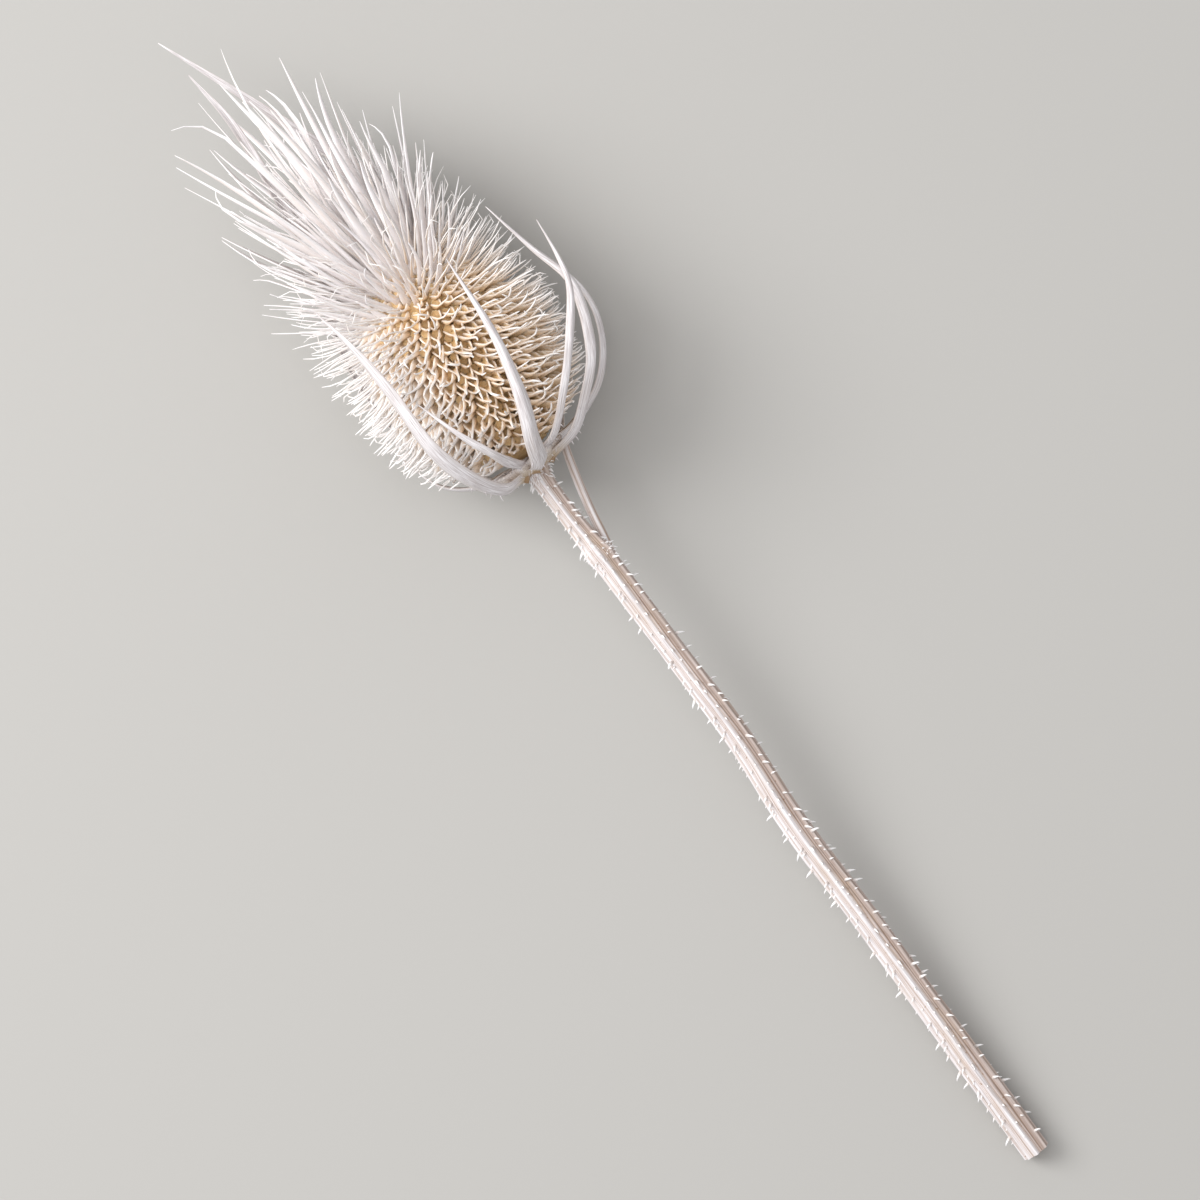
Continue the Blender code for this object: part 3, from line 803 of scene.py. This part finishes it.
# %% The bracts' lines
BRACT_RINGS = 49
BRACT_TIP_WIDTH = 0.16 * MM
BRACT_FOLD = 0.31
FOOT_SINK = 0.6
FOOT_BACK = 0.9
BRACT_THICKNESS = 0.36 * MM
BRACTS = {   # width, taper, the turn of its face at foot and tip, and places along, side and front
    "bract_01": (3.8, 2.7, (87, 70), (
        (-1.0, 0.3, 4.6), (-0.4, 1.2, 11), (4, 2.4, 19), (12, 5.4, 24.3), (24, 8.0, 25.2),
        (39, 9.1, 21.5))),
    "bract_02": (3.4, 1.6, (112, 121), (
        (0.8, -1.7, 4.3), (1.8, -3.0, 11), (5.5, -4.8, 18), (12.5, -7.8, 21.2),
        (21.2, -10.6, 19.9))),
    "bract_03": (4.6, 1.9, (130, 121), (
        (-1.0, -3.8, 2.7), (-0.4, -7.8, 8.5), (5.5, -11.3, 16.2), (13.5, -13.2, 20.7),
        (26, -13.2, 21.6), (36, -13.9, 19.6), (45, -15.5, 16))),
    "bract_04": (2.6, 1.8, (185, 190), (
        (0.8, -4.6, -0.4), (1.6, -10.5, -1.5), (6.0, -16.2, -2.5), (15, -19.2, -3.5))),
    "bract_05": (3.2, 5.0, (225, 262), (
        (-1.0, -3.3, -3.3), (-0.6, -7.5, -8.3), (6, -12.5, -15.0), (16, -15.8, -17.4),
        (32, -16.0, -16.8), (56, -10.0, -10.5), (79, -7.5, -6), (93, -8.6, -4))),
    "bract_06": (2.6, 1.8, (262, 262), (
        (0.8, -0.6, -4.6), (1.4, -1.4, -10.5), (4.6, -2.3, -15.0), (11, -2.8, -17.2))),
    "bract_07": (3.2, 5.0, (305, 272), (
        (-1.0, 2.6, -3.8), (-0.6, 6.0, -9.0), (6, 10.4, -15.4), (17, 12.8, -17.6),
        (34, 12.0, -17.4), (52, 8.0, -14.0), (67, 3.6, -11), (83, -2.4, -8.5), (101, -9.6, -6))),
    "bract_08": (3.6, 2.6, (345, 395), (
        (0.8, 4.3, -1.6), (0.9, 10.2, -2.8), (4.4, 18.6, -3.6), (11.6, 24.3, -3.4),
        (20, 26.0, -2.6), (31, 23.1, -1.2))),
    "bract_09": (3.5, 2.6, (36, 56), (
        (-1.0, 4.3, 1.6), (0.2, 9.8, 4.2), (4.6, 15.4, 7.4), (9.5, 20.2, 9.4), (16.7, 23.7, 9.2),
        (23, 25.0, 7.4), (31, 22.9, 6.5), (42, 20.6, 5.5))),
    "bract_10": (2.4, 2.6, (62, 48), (
        (0.8, 2.5, 3.9), (2.4, 6.8, 11.4), (8.7, 13.3, 17.8), (14.5, 18.6, 17.6),
        (21.3, 23.9, 13.7), (27, 25.7, 10.3), (34.7, 26.6, 7))),
}


def bract_rows(width, taper, face, points):
    """A bract's centre line, its widths and the directions across it. Its foot is sunk in the collar."""
    along, side, front = points[0]
    foot = (along - FOOT_BACK, side * FOOT_SINK, front * FOOT_SINK)
    line = at_head(smooth_path((foot, *points), BRACT_RINGS) * MM)
    share = np.linspace(0, 1, BRACT_RINGS)
    azimuth = np.radians(face[0] + (face[1] - face[0]) * share)[:, None]
    across = SIDE * np.sin(azimuth) - FRONT * np.cos(azimuth)
    widths = BRACT_TIP_WIDTH + (width * MM - BRACT_TIP_WIDTH) * (1 - share ** taper)
    return line, widths, across


bract_lines = {name: bract_rows(*bract) for name, bract in BRACTS.items()}
print("longest bract:", max(
    round(np.linalg.norm(np.diff(line, axis=0), axis=1).sum() / MM)
    for line, widths, across in bract_lines.values()), "mm")

# %% Build the bracts
RIPPLE_HEIGHT = (0.04, 0.12)
RIPPLE_WAVES = (18, 30)
BRACT_PRICKLES = 13
BRACT_PRICKLE_LENGTH = (0.5, 1.3)
PRICKLE_ROWS = (3, BRACT_RINGS * 2 // 5)
PRICKLE_ASIDE = 0.42
PRICKLE_WIDTH = 0.34 * MM
PRICKLE_FOOT_SHARE = 0.3      # where on the run of colours from root to tip a prickle starts
leaf_strip = make_strip(6, BRACT_RINGS)
share = np.linspace(0, 1, BRACT_RINGS)
for index, (name, (line, widths, across)) in enumerate(bract_lines.items()):
    height = draw.uniform(*RIPPLE_HEIGHT) * MM
    ripple = height * np.sin(share * draw.uniform(*RIPPLE_WAVES) + draw.uniform(0, 6))
    thick = BRACT_THICKNESS * (0.35 + 0.65 * widths / widths[0])
    frill = ripple * np.minimum(1, widths / MM)
    leaf = bend_strips(
        name, leaf_strip, line[None], across[None], widths[None], (widths * BRACT_FOLD)[None],
        thick[None], [draw.random()], frill[None])
    ahead = unit(np.gradient(line, axis=0))
    across = unit(across)
    back = np.cross(across, ahead)
    rows = draw.integers(*PRICKLE_ROWS, BRACT_PRICKLES)
    aside = draw.choice((-PRICKLE_ASIDE, 0.0, PRICKLE_ASIDE), BRACT_PRICKLES)[:, None]
    sway = aside * widths[rows, None]
    rise = (1 - 2 * np.abs(aside)) * BRACT_FOLD * widths[rows, None]
    feet = line[rows] + back[rows] * rise + across[rows] * sway
    outs = back[rows] + across[rows] * sway / MM * 0.6
    clear = (feet + outs * MM)[:, 2] > FLOOR_GAP
    lengths = draw.uniform(*BRACT_PRICKLE_LENGTH, BRACT_PRICKLES) * MM
    spikes = plant_thorns(
        name, feet[clear], outs[clear], -ahead[rows][clear], lengths[clear],
        np.full(clear.sum(), PRICKLE_WIDTH), PRICKLE_FOOT_SHARE)
    whole = join_meshes(f"leaf_{index + 1:02d}", (leaf, spikes))
    add_piece(whole.name, whole, (bract_skin,), name)

# %% [markdown]
# ### The cup
# The bracts' feet are broad and run into each other, so that together they make a shallow cup
# round the base of the head. A ring is drawn out to the lip and back in, step by step, and the
# lip dips between two bracts.

# %% Build the cup
CUP_SIDES = 120
CUP_DIP = 1.9
CUP_FOOT_TURN = 0.24
CUP_STEPS = (   # along the head and out from its axis in millimetres, share of the dip, note of the colour
    (-2.4, 2.2, 0, 0.12), (-2.1, 3.6, 0, 0.12), (-1.75, 4.7, 0.2, 0.13), (-1.2, 5.8, 0.5, 0.15),
    (-0.5, 6.9, 0.8, 0.17), (0.2, 7.6, 1, 0.2), (0.6, 7.5, 1, 0.2), (0.3, 6.4, 0.8, 0.18),
    (-0.1, 4.5, 0.2, 0.15), (-0.2, 2.0, 0, 0.12))
foot_turns = np.array([math.atan2(points[0][2], points[0][1]) for *_, points in BRACTS.values()])
bm = bmesh.new()
share_layer = bm.verts.layers.float.new("share")
grain_layer = bm.verts.layers.float_vector.new("grain")
turn_layer = bm.verts.layers.float.new("turn")
ring, start = start_ring(bm, CUP_SIDES, turn_layer)
edges = start
for step, (along, out, dip, note) in enumerate(CUP_STEPS):
    if step:
        ring, edges, _ = pull_ring(bm, edges)
    for vert in ring:
        turn = vert[turn_layer]
        away = np.abs((foot_turns - turn + math.pi) % (2 * math.pi) - math.pi).min()
        reach = out - CUP_DIP * dip * (1 - math.exp(-(away / CUP_FOOT_TURN) ** 2))
        vert.co = Vector(at_head(np.array((along, reach * math.cos(turn), reach * math.sin(turn))) * MM))
        vert[share_layer] = note
        vert[grain_layer] = Vector((reach, turn * 4, along))
close_ends(bm, start, edges)
cup_mesh = keep_mesh(bm, "bract_cup")
add_note(cup_mesh, "tone", 0.7)
add_note(cup_mesh, "edge", 0)
add_piece("bract_cup", cup_mesh, (bract_skin,), "stem")

# %% [markdown]
# ## The core of the head
# Under the scales is an egg-shaped core, thick with chaff between their feet, and hardly seen:
# only its ochre shows in the gaps. A sphere is drawn out into the egg, with its wide end at the
# base, and its surface is raised by the depth of the chaff.

# %% The core
CORE_START = 0.6 * MM
CORE_LENGTH = 46 * MM
CORE_RADIUS = 11.0 * MM
CORE_EGG = 0.14
CHAFF_DEPTH = 1.6 * MM
CHAFF_START = 6          # the chaff is at its full depth from a sixth of the length on
DENT = 0.05
DENT_PLACES = 9


def core_radius(share):
    """The core's radius at a share of its length."""
    height = 1 - 2 * share
    return CORE_RADIUS * np.sqrt(np.clip(1 - height ** 2, 0, 1)) * (1 + CORE_EGG * height)


bm = bmesh.new()
bmesh.ops.create_uvsphere(bm, u_segments=64, v_segments=48, radius=1)
for vert in bm.verts:
    share = (vert.co.z + 1) / 2
    azimuth = math.atan2(vert.co.y, vert.co.x)
    out = float(core_radius(share)) if 0 < share < 1 else 0
    out += CHAFF_DEPTH * min(1, CHAFF_START * share, CHAFF_START * (1 - share)) if 0 < share < 1 else 0
    dent = 1 - DENT * abs(noise.noise(vert.co * DENT_PLACES))
    vert.co = Vector(at_head((CORE_START + CORE_LENGTH * share,
                              out * dent * math.sin(azimuth), out * dent * math.cos(azimuth))))
core_mesh = keep_mesh(bm, "head_core", False)
add_note(core_mesh, "grain", mesh_points(core_mesh) / MM)
add_piece("head_core", core_mesh, (core_chaff,), "seed_head")

# %% [markdown]
# ## Where the scales stand
# The scales follow one spiral, each turned by the golden angle from the last, and cover the core
# evenly. How long they are and how far they lean towards the tip changes along the head, by the
# same table as in the CAD source, which has fewer spines, to stay light.

# %% Roots and directions
SCALES = 1100
GOLDEN_ANGLE = math.radians(137.508)
FIRST_SCALE = 1.0 * MM
ROOT_DEPTH = 1.0 * MM
SCALE_RULE = (
    (0.00, 7.0, 14), (0.12, 9.0, 0), (0.30, 10.2, -7), (0.55, 11.4, -4), (0.72, 13.0, 10),
    (0.85, 15.0, 30), (0.94, 19.0, 55), (1.00, 24.0, 88))


def even_shares(count):
    """Shares of the core's length that split its surface into equal areas."""
    steps = np.linspace(0, 1, 2001)
    radius = core_radius(steps)
    band = (radius[1:] + radius[:-1]) * np.hypot(np.diff(radius), CORE_LENGTH / 2000)
    total = np.concatenate(([0], np.cumsum(band)))
    return np.interp((np.arange(count) + 0.5) / count * total[-1], total, steps)


def stand_up(share, azimuth, lean, stray):
    """Roots, directions, and the two directions square to them, for scales on the core."""
    radial = around(azimuth, SIDE, FRONT)
    tangent = around(azimuth, FRONT, -SIDE)
    way = unit(radial * np.cos(lean)[:, None] + UP * np.sin(lean)[:, None] + tangent * stray[:, None])
    surface = BASE + np.outer(CORE_START + CORE_LENGTH * share, UP) + radial * core_radius(share)[:, None]
    tipwards = unit(UP * np.cos(lean)[:, None] - radial * np.sin(lean)[:, None])
    return surface - way * ROOT_DEPTH, way, tangent, tipwards


shares = even_shares(SCALES)
keep = CORE_START + CORE_LENGTH * shares > FIRST_SCALE
azimuths = (np.arange(SCALES) * GOLDEN_ANGLE)[keep]
shares = shares[keep]
print(len(shares), "scales on the core")

# %% [markdown]
# ## Lines for the awns
# No awn is quite straight. Each has a slight bow, a lazy sway from side to side, and a curl at
# its tip, which on some is a full hook. The line is worked out as many close points. A line that
# runs into a bract ends short of it, and a tip that would go under the floor is bent along it.

# %% Curved lines
FINE = 40
BRACT_GAP = 0.45 * MM


def awn_lines(roots, way, tangent, tipwards, length, sway, bow, curl, curl_start):
    """Centre lines of awns, as close points from root to tip."""
    count = len(roots)
    s = np.linspace(0, 1, FINE)[None, :]
    long = length[:, None]
    walked = s * long
    straight = curl_start[:, None] * long
    round_radius = (1 - curl_start[:, None]) * long / curl[:, None]
    angle = np.clip(walked - straight, 0, None) / round_radius
    forward = np.minimum(walked, straight) + round_radius * np.sin(angle)
    aside = round_radius * (1 - np.cos(angle))
    heading = draw.uniform(0, 2 * math.pi, count)[:, None]
    heading = tangent * np.cos(heading) + tipwards * (0.35 + np.sin(heading))
    phase = draw.uniform(0, 1, count)[:, None]
    waves = draw.uniform(0.6, 1.3, count)[:, None]
    swing = sway[:, None] * s * (np.sin(2 * math.pi * (waves * s + phase)) - np.sin(2 * math.pi * phase))
    tilt = draw.normal(0, 0.7, count)[:, None]
    swung = tangent * np.cos(tilt) + tipwards * np.sin(tilt)
    bent = bow[:, None] * long * s ** 2
    lines = roots[:, None] + way[:, None] * forward[..., None] + unit(heading)[:, None] * aside[..., None]
    return lines + swung[:, None] * swing[..., None] + tipwards[:, None] * bent[..., None]


bract_points = np.concatenate([line for line, widths, across in bract_lines.values()])
bract_reach = np.concatenate([widths / 2 for line, widths, across in bract_lines.values()]) + BRACT_GAP


def clear_share(line):
    """How much of a line, from 0 to 1, stays clear of every bract."""
    gaps = np.linalg.norm(line[:, None] - bract_points[None], axis=-1) - bract_reach
    touched = np.flatnonzero((gaps < 0).any(axis=1))
    return 1.0 if len(touched) == 0 else max(touched[0] - 1, 0) / (FINE - 1)


def ring_places(lines, ends, ring_shares, floor_gap):
    """The places of each line's rings, up to its own end, kept above the floor."""
    place = ends[:, None] * ring_shares * (FINE - 1)
    low = np.minimum(place.astype(int), FINE - 2)
    part = (place - low)[..., None]
    copy = np.arange(len(lines))[:, None]
    places = lines[copy, low] * (1 - part) + lines[copy, low + 1] * part
    places[..., 2] = np.maximum(places[..., 2], floor_gap)
    return places


print("bract points to keep clear of:", len(bract_points))

# %% [markdown]
# ## The scales
# A scale is a deep channel for its lower half, open towards the head's tip, with its keel towards
# the base. There its walls fall away, and the keel goes on as a stiff awn. End on, the rims of the
# channels join into a pale honeycomb over ochre hollows. From the side, their backs close into a
# smooth cream surface. On the flank that faces the lamp, their colours are painted paler, as
# painted light, into an even cream. Each scale is one strip with a few dozen faces.

# %% Build the scales
SCALE_SHAPE = (   # share of the length, width, depth of the channel, thickness, in millimetres
    (0.00, 1.50, 1.00, 0.36), (0.30, 1.80, 1.30, 0.35), (0.48, 2.30, 1.55, 0.33), (0.55, 2.05, 1.25, 0.33),
    (0.61, 1.40, 0.68, 0.36), (0.68, 0.72, 0.22, 0.38), (0.78, 0.54, 0.06, 0.38), (0.88, 0.44, 0.02, 0.34),
    (0.95, 0.36, 0.00, 0.26), (1.00, 0.14, 0.00, 0.12))
SCALE_RINGS = (0, 0.32, 0.48, 0.56, 0.62, 0.68, 0.77, 0.86, 0.94, 1)
CHANNEL_SHARE = 0.68
# painted light: scales that point towards the lamp-facing flank take paler colours, by up to the shift
# below
PAINTED_LIGHT_SIDE = (-0.6, 0.0)    # how far a scale points to that flank
PAINTED_LIGHT_SHIFT = 0.36
BOW_SPREAD = 0.03
SCALE_CURLS = (0.3, (1.0, 2.6), (0.05, 0.6), (0.72, 0.88), (0.5, 0.8))     # as draw_curls reads them
SCALE_SWAY = (0.15, 0.65)
SCALE_SPREAD = (0.9, 1.1)
SHORTEST_AWN = 3.0 * MM
CHANNEL_HEIGHTS = ((0.0, 7.6), (0.5, 7.6), (0.8, 4.6), (1.0, 4.2))   # share of the core's length, in mm


def own_ring_shares(ring_shares, long, channel):
    """Where the rings of each scale stand, by the height of its channel, or alike without heights."""
    shares = np.tile(ring_shares, (len(long), 1))
    if channel is None:
        return shares
    top = np.minimum(CHANNEL_SHARE, channel / long)[:, None]
    above = top + (shares - CHANNEL_SHARE) / (1 - CHANNEL_SHARE) * (1 - top)
    return np.where(shares < CHANNEL_SHARE, shares / CHANNEL_SHARE * top, above)


def build_awns(name, strip, roots_and_ways, length, sway, bow, curl, curl_start, shape, ring_shares, tone,
               breadth, channel):
    """A mesh of scales or bristles that stay clear of the bracts and the floor."""
    roots, way, tangent, tipwards = roots_and_ways
    long = ROOT_DEPTH + length
    lines = awn_lines(roots, way, tangent, tipwards, long, sway, bow, curl, curl_start)
    ends = np.array([clear_share(line) for line in lines])
    kept = ends * length > SHORTEST_AWN
    own_shares = own_ring_shares(ring_shares, long, channel)
    centres = ring_places(lines[kept], ends[kept], own_shares[kept], FLOOR_GAP)
    width, fold, thick = (np.outer(breadth[kept], column * MM) for column in read_table(shape, ring_shares))
    across = np.repeat(-tangent[kept][:, None], len(ring_shares), axis=1)
    print(name, "keeps", kept.sum(), "of", len(kept), "and shortens", (ends[kept] < 1).sum())
    deep = channel is not None
    # painted light for the scales that face the lamp
    painted_light = np.interp(way[kept, 1], PAINTED_LIGHT_SIDE, (PAINTED_LIGHT_SHIFT, 0))[:, None] if deep else 0
    return bend_strips(name, strip, centres, across, width, fold, thick, tone[kept], None, deep, painted_light)


def draw_curls(count, hooked_part, hook_curls, plain_curls, hook_starts, plain_starts):
    """How far each awn's tip curls and where its curl starts, with a part of them hooked."""
    hooked = draw.random(count) < hooked_part
    curl = np.where(hooked, draw.uniform(*hook_curls, count), draw.uniform(*plain_curls, count))
    start = np.where(hooked, draw.uniform(*hook_starts, count), draw.uniform(*plain_starts, count))
    return curl, start


lengths, leans = read_table(SCALE_RULE, shares)
count = len(shares)
turned = azimuths + draw.normal(0, 0.02, count)
leaning = np.radians(leans + draw.normal(0, 3, count))
standing = stand_up(shares, turned, leaning, draw.normal(0, 0.05, count))
curls = draw_curls(count, *SCALE_CURLS)
slender = np.interp(shares, (0.55, 0.85), (0.92, 0.66))
channels = read_table(CHANNEL_HEIGHTS, shares)[0] * MM
scales = build_awns(
    "head_scales", make_strip(3, len(SCALE_RINGS)), standing,
    lengths * MM * draw.uniform(*SCALE_SPREAD, count), draw.uniform(*SCALE_SWAY, count) * MM,
    draw.normal(0.0, BOW_SPREAD, count), *curls, SCALE_SHAPE, SCALE_RINGS, draw.random(count),
    slender, channels)
add_piece("head_scales", scales, (scale_horn,), "seed_head")

# %% [markdown]
# ## The nutlets
# In the corner above each scale sits a dry nutlet with a small cup on top. They fill the cells
# between the scales, so that the eye meets their ochre a few millimetres down, and not the dark.
# One is drawn from a hexagon, pulled up with a waist, and its top is inset and pushed in.

# %% One nutlet
NUT_STEPS = ((0.35, 1.0, 0), (0.85, 0.95, 0), (1.0, 1.1, 0))
NUT_INSET = 0.16
NUT_HOLLOW = 0.09
bm, cap = draw_up(0, NUT_STEPS)
bmesh.ops.inset_region(bm, faces=cap, thickness=NUT_INSET)
bmesh.ops.translate(bm, verts=cap[0].verts[:], vec=(0, 0, -NUT_HOLLOW))
nutlet = keep_mesh(bm, "nutlet")
print("one nutlet has", len(nutlet.polygons), "faces")

# %% Stand a nutlet above each scale
NUT_LENGTH = 4.0 * MM
NUT_WIDTH = 1.65 * MM
NUT_STEP = 1.0 * MM
NUT_SPREAD = (0.85, 1.15)
roots, way, tangent, tipwards = standing
nut_mesh, copies = repeat_mesh(nutlet, count, "head_nutlets")
x, y, z = copies[..., None]
shorter = np.interp(shares, (0.5, 0.8), (1, 0.6))
tall = (NUT_LENGTH * draw.uniform(*NUT_SPREAD, count) * shorter)[:, None, None]
places = (roots + tipwards * NUT_STEP)[:, None] + way[:, None] * z * tall
places = places + tangent[:, None] * x * NUT_WIDTH + tipwards[:, None] * y * NUT_WIDTH
places[..., 2] = np.maximum(places[..., 2], FLOOR_GAP)
move_points(nut_mesh, places)
add_note(nut_mesh, "share", z)
add_note(nut_mesh, "edge", 0)
add_note(nut_mesh, "tone", np.repeat(draw.random(count), z.shape[1]))
add_note(nut_mesh, "grain", np.concatenate((z * tall, x * NUT_WIDTH, y * NUT_WIDTH), -1) / MM)
add_piece("head_nutlets", nut_mesh, (nut_husk,), "seed_head")

# %% [markdown]
# ## The tuft
# The topmost scales carry the longest awns, white bristles that sweep out round the tip like a
# brush. There are two kinds: many fine short ones, which lead over from the scales, and among
# them a few dozen long ones, broad and flat, that taper all the way to their tips. They are the
# same strip with other tables of sizes, and lean the more towards the tip the nearer they stand.

# %% Build the tuft
BRISTLE_RINGS = (0, 0.1, 0.2, 0.3, 0.42, 0.54, 0.66, 0.78, 0.88, 0.95, 1)
FINE_BRISTLE = (    # share of the length, width, depth of the channel, thickness, in millimetres
    (0.00, 1.60, 0.40, 0.30), (0.14, 1.80, 0.40, 0.28), (0.32, 1.40, 0.28, 0.30), (0.52, 0.95, 0.17, 0.32),
    (0.76, 0.58, 0.08, 0.30), (0.90, 0.36, 0.03, 0.24), (1.00, 0.12, 0.00, 0.10))
LONG_BRISTLE = (
    (0.00, 1.90, 0.45, 0.34), (0.14, 2.50, 0.50, 0.32), (0.32, 2.30, 0.42, 0.32), (0.52, 1.75, 0.30, 0.32),
    (0.76, 1.05, 0.16, 0.30), (0.90, 0.55, 0.06, 0.24), (1.00, 0.12, 0.00, 0.10))
BRISTLE_CURLS = (0.2, (0.5, 1.3), (0.03, 0.3), (0.75, 0.92), (0.3, 0.6))
BRISTLE_SWAY = (0.1, 0.6)
BRISTLE_BREADTH = (0.75, 1.15)
bristle_strip = make_strip(2, len(BRISTLE_RINGS))


def build_bristles(name, count, first, shape, shortest, spread, lean, uneven):
    """Bristles round the tip, from a share of the core's length on, by their lengths and leans."""
    inwards = (np.arange(count) + 0.5) / count
    azimuths = (np.arange(count) + 0.5) * GOLDEN_ANGLE
    low, more, tilt = (np.interp(inwards, (0, 0.4, 1), rule) for rule in (shortest, spread, lean))
    lengths = (low + more * draw.random(count) ** 1.4) * (1 - uneven * np.cos(azimuths)) * MM
    leans = np.radians(tilt + draw.normal(0, 4, count))
    standing = stand_up(first + (1 - first) * inwards, azimuths, leans, draw.normal(0, 0.06, count))
    curls = draw_curls(count, *BRISTLE_CURLS)
    return build_awns(
        name, bristle_strip, standing, lengths, draw.uniform(*BRISTLE_SWAY, count) * MM,
        draw.normal(0.0, BOW_SPREAD, count), *curls, shape, BRISTLE_RINGS, draw.random(count),
        draw.uniform(*BRISTLE_BREADTH, count), None)


fine_bristles = build_bristles(
    "fine_bristles", 260, 0.73, FINE_BRISTLE, (10, 16, 19), (4, 9, 10), (28, 52, 88), 0.15)
long_bristles = build_bristles(
    "long_bristles", 64, 0.83, LONG_BRISTLE, (22, 27, 30), (10, 14, 14), (54, 64, 88), 0.18)
tuft = join_meshes("head_tuft", (fine_bristles, long_bristles))
add_piece("head_tuft", tuft, (tuft_horn,), "seed_head")

# %% [markdown]
# ## Floor, light and camera
# The teasel lies on a plain pale floor. A large soft lamp shines from the upper left of the
# picture, as in the photo, and a weaker one and a pale sky fill the shadows. The camera looks
# straight down, turned so that the stem runs to the lower right, through a long lens, which
# keeps the head's true outline.

# %% The floor
FLOOR_REACH = 1.5
bm = bmesh.new()
bmesh.ops.create_grid(bm, x_segments=1, y_segments=1, size=FLOOR_REACH)
floor = add_object("floor", keep_mesh(bm, "floor", False))
floor_paint = bpy.data.materials.new("floor_paint")
floor_paint.use_nodes = True
paint = floor_paint.node_tree.nodes["Principled BSDF"].inputs
paint["Base Color"].default_value = FLOOR_GREY
paint["Roughness"].default_value = 0.9
floor.data.materials.append(floor_paint)
print("the floor is", floor.dimensions.x, "m wide")

# %% Lamps and sky
SKY_COLOR = (0.98, 0.98, 1.0, 1)
SKY_STRENGTH = 0.6
KEY_LAMP = ((-0.72, -0.62, 0.85), 13.0, 0.7)     # place, power and size
FILL_LAMP = ((-0.25, -0.2, 1.3), 6.2, 1.0)


def add_lamp(name, place, power, size):
    """A square soft lamp, with its power in watts, that shines at the middle of the teasel."""
    light = bpy.data.lights.new(name, "AREA")
    light.energy = power
    light.size = size
    lamp = add_object(name, light)
    lamp.location = place
    lamp.rotation_euler = (-Vector(place)).to_track_quat("-Z", "Y").to_euler()


add_lamp("key_lamp", *KEY_LAMP)
add_lamp("fill_lamp", *FILL_LAMP)
sky = bpy.data.worlds.new("sky")
sky.use_nodes = True
background = sky.node_tree.nodes["Background"].inputs
background["Color"].default_value = SKY_COLOR
background["Strength"].default_value = SKY_STRENGTH
bpy.context.scene.world = sky
bpy.context.scene.view_settings.view_transform = "Standard"

# %% The camera
PICTURE_TURN = math.radians(53.6)
VIEW_CENTRE = (-0.3 * MM, -4.5 * MM)
VIEW_WIDTH = 222 * MM
CAMERA_HEIGHT = 1.3
lens = bpy.data.cameras.new("camera")
lens.lens = lens.sensor_width * CAMERA_HEIGHT / VIEW_WIDTH
camera = add_object("camera", lens)
camera.location = (*VIEW_CENTRE, CAMERA_HEIGHT)
camera.rotation_euler = (0, 0, PICTURE_TURN)
bpy.context.scene.camera = camera
print("the lens is", round(lens.lens), "mm long")
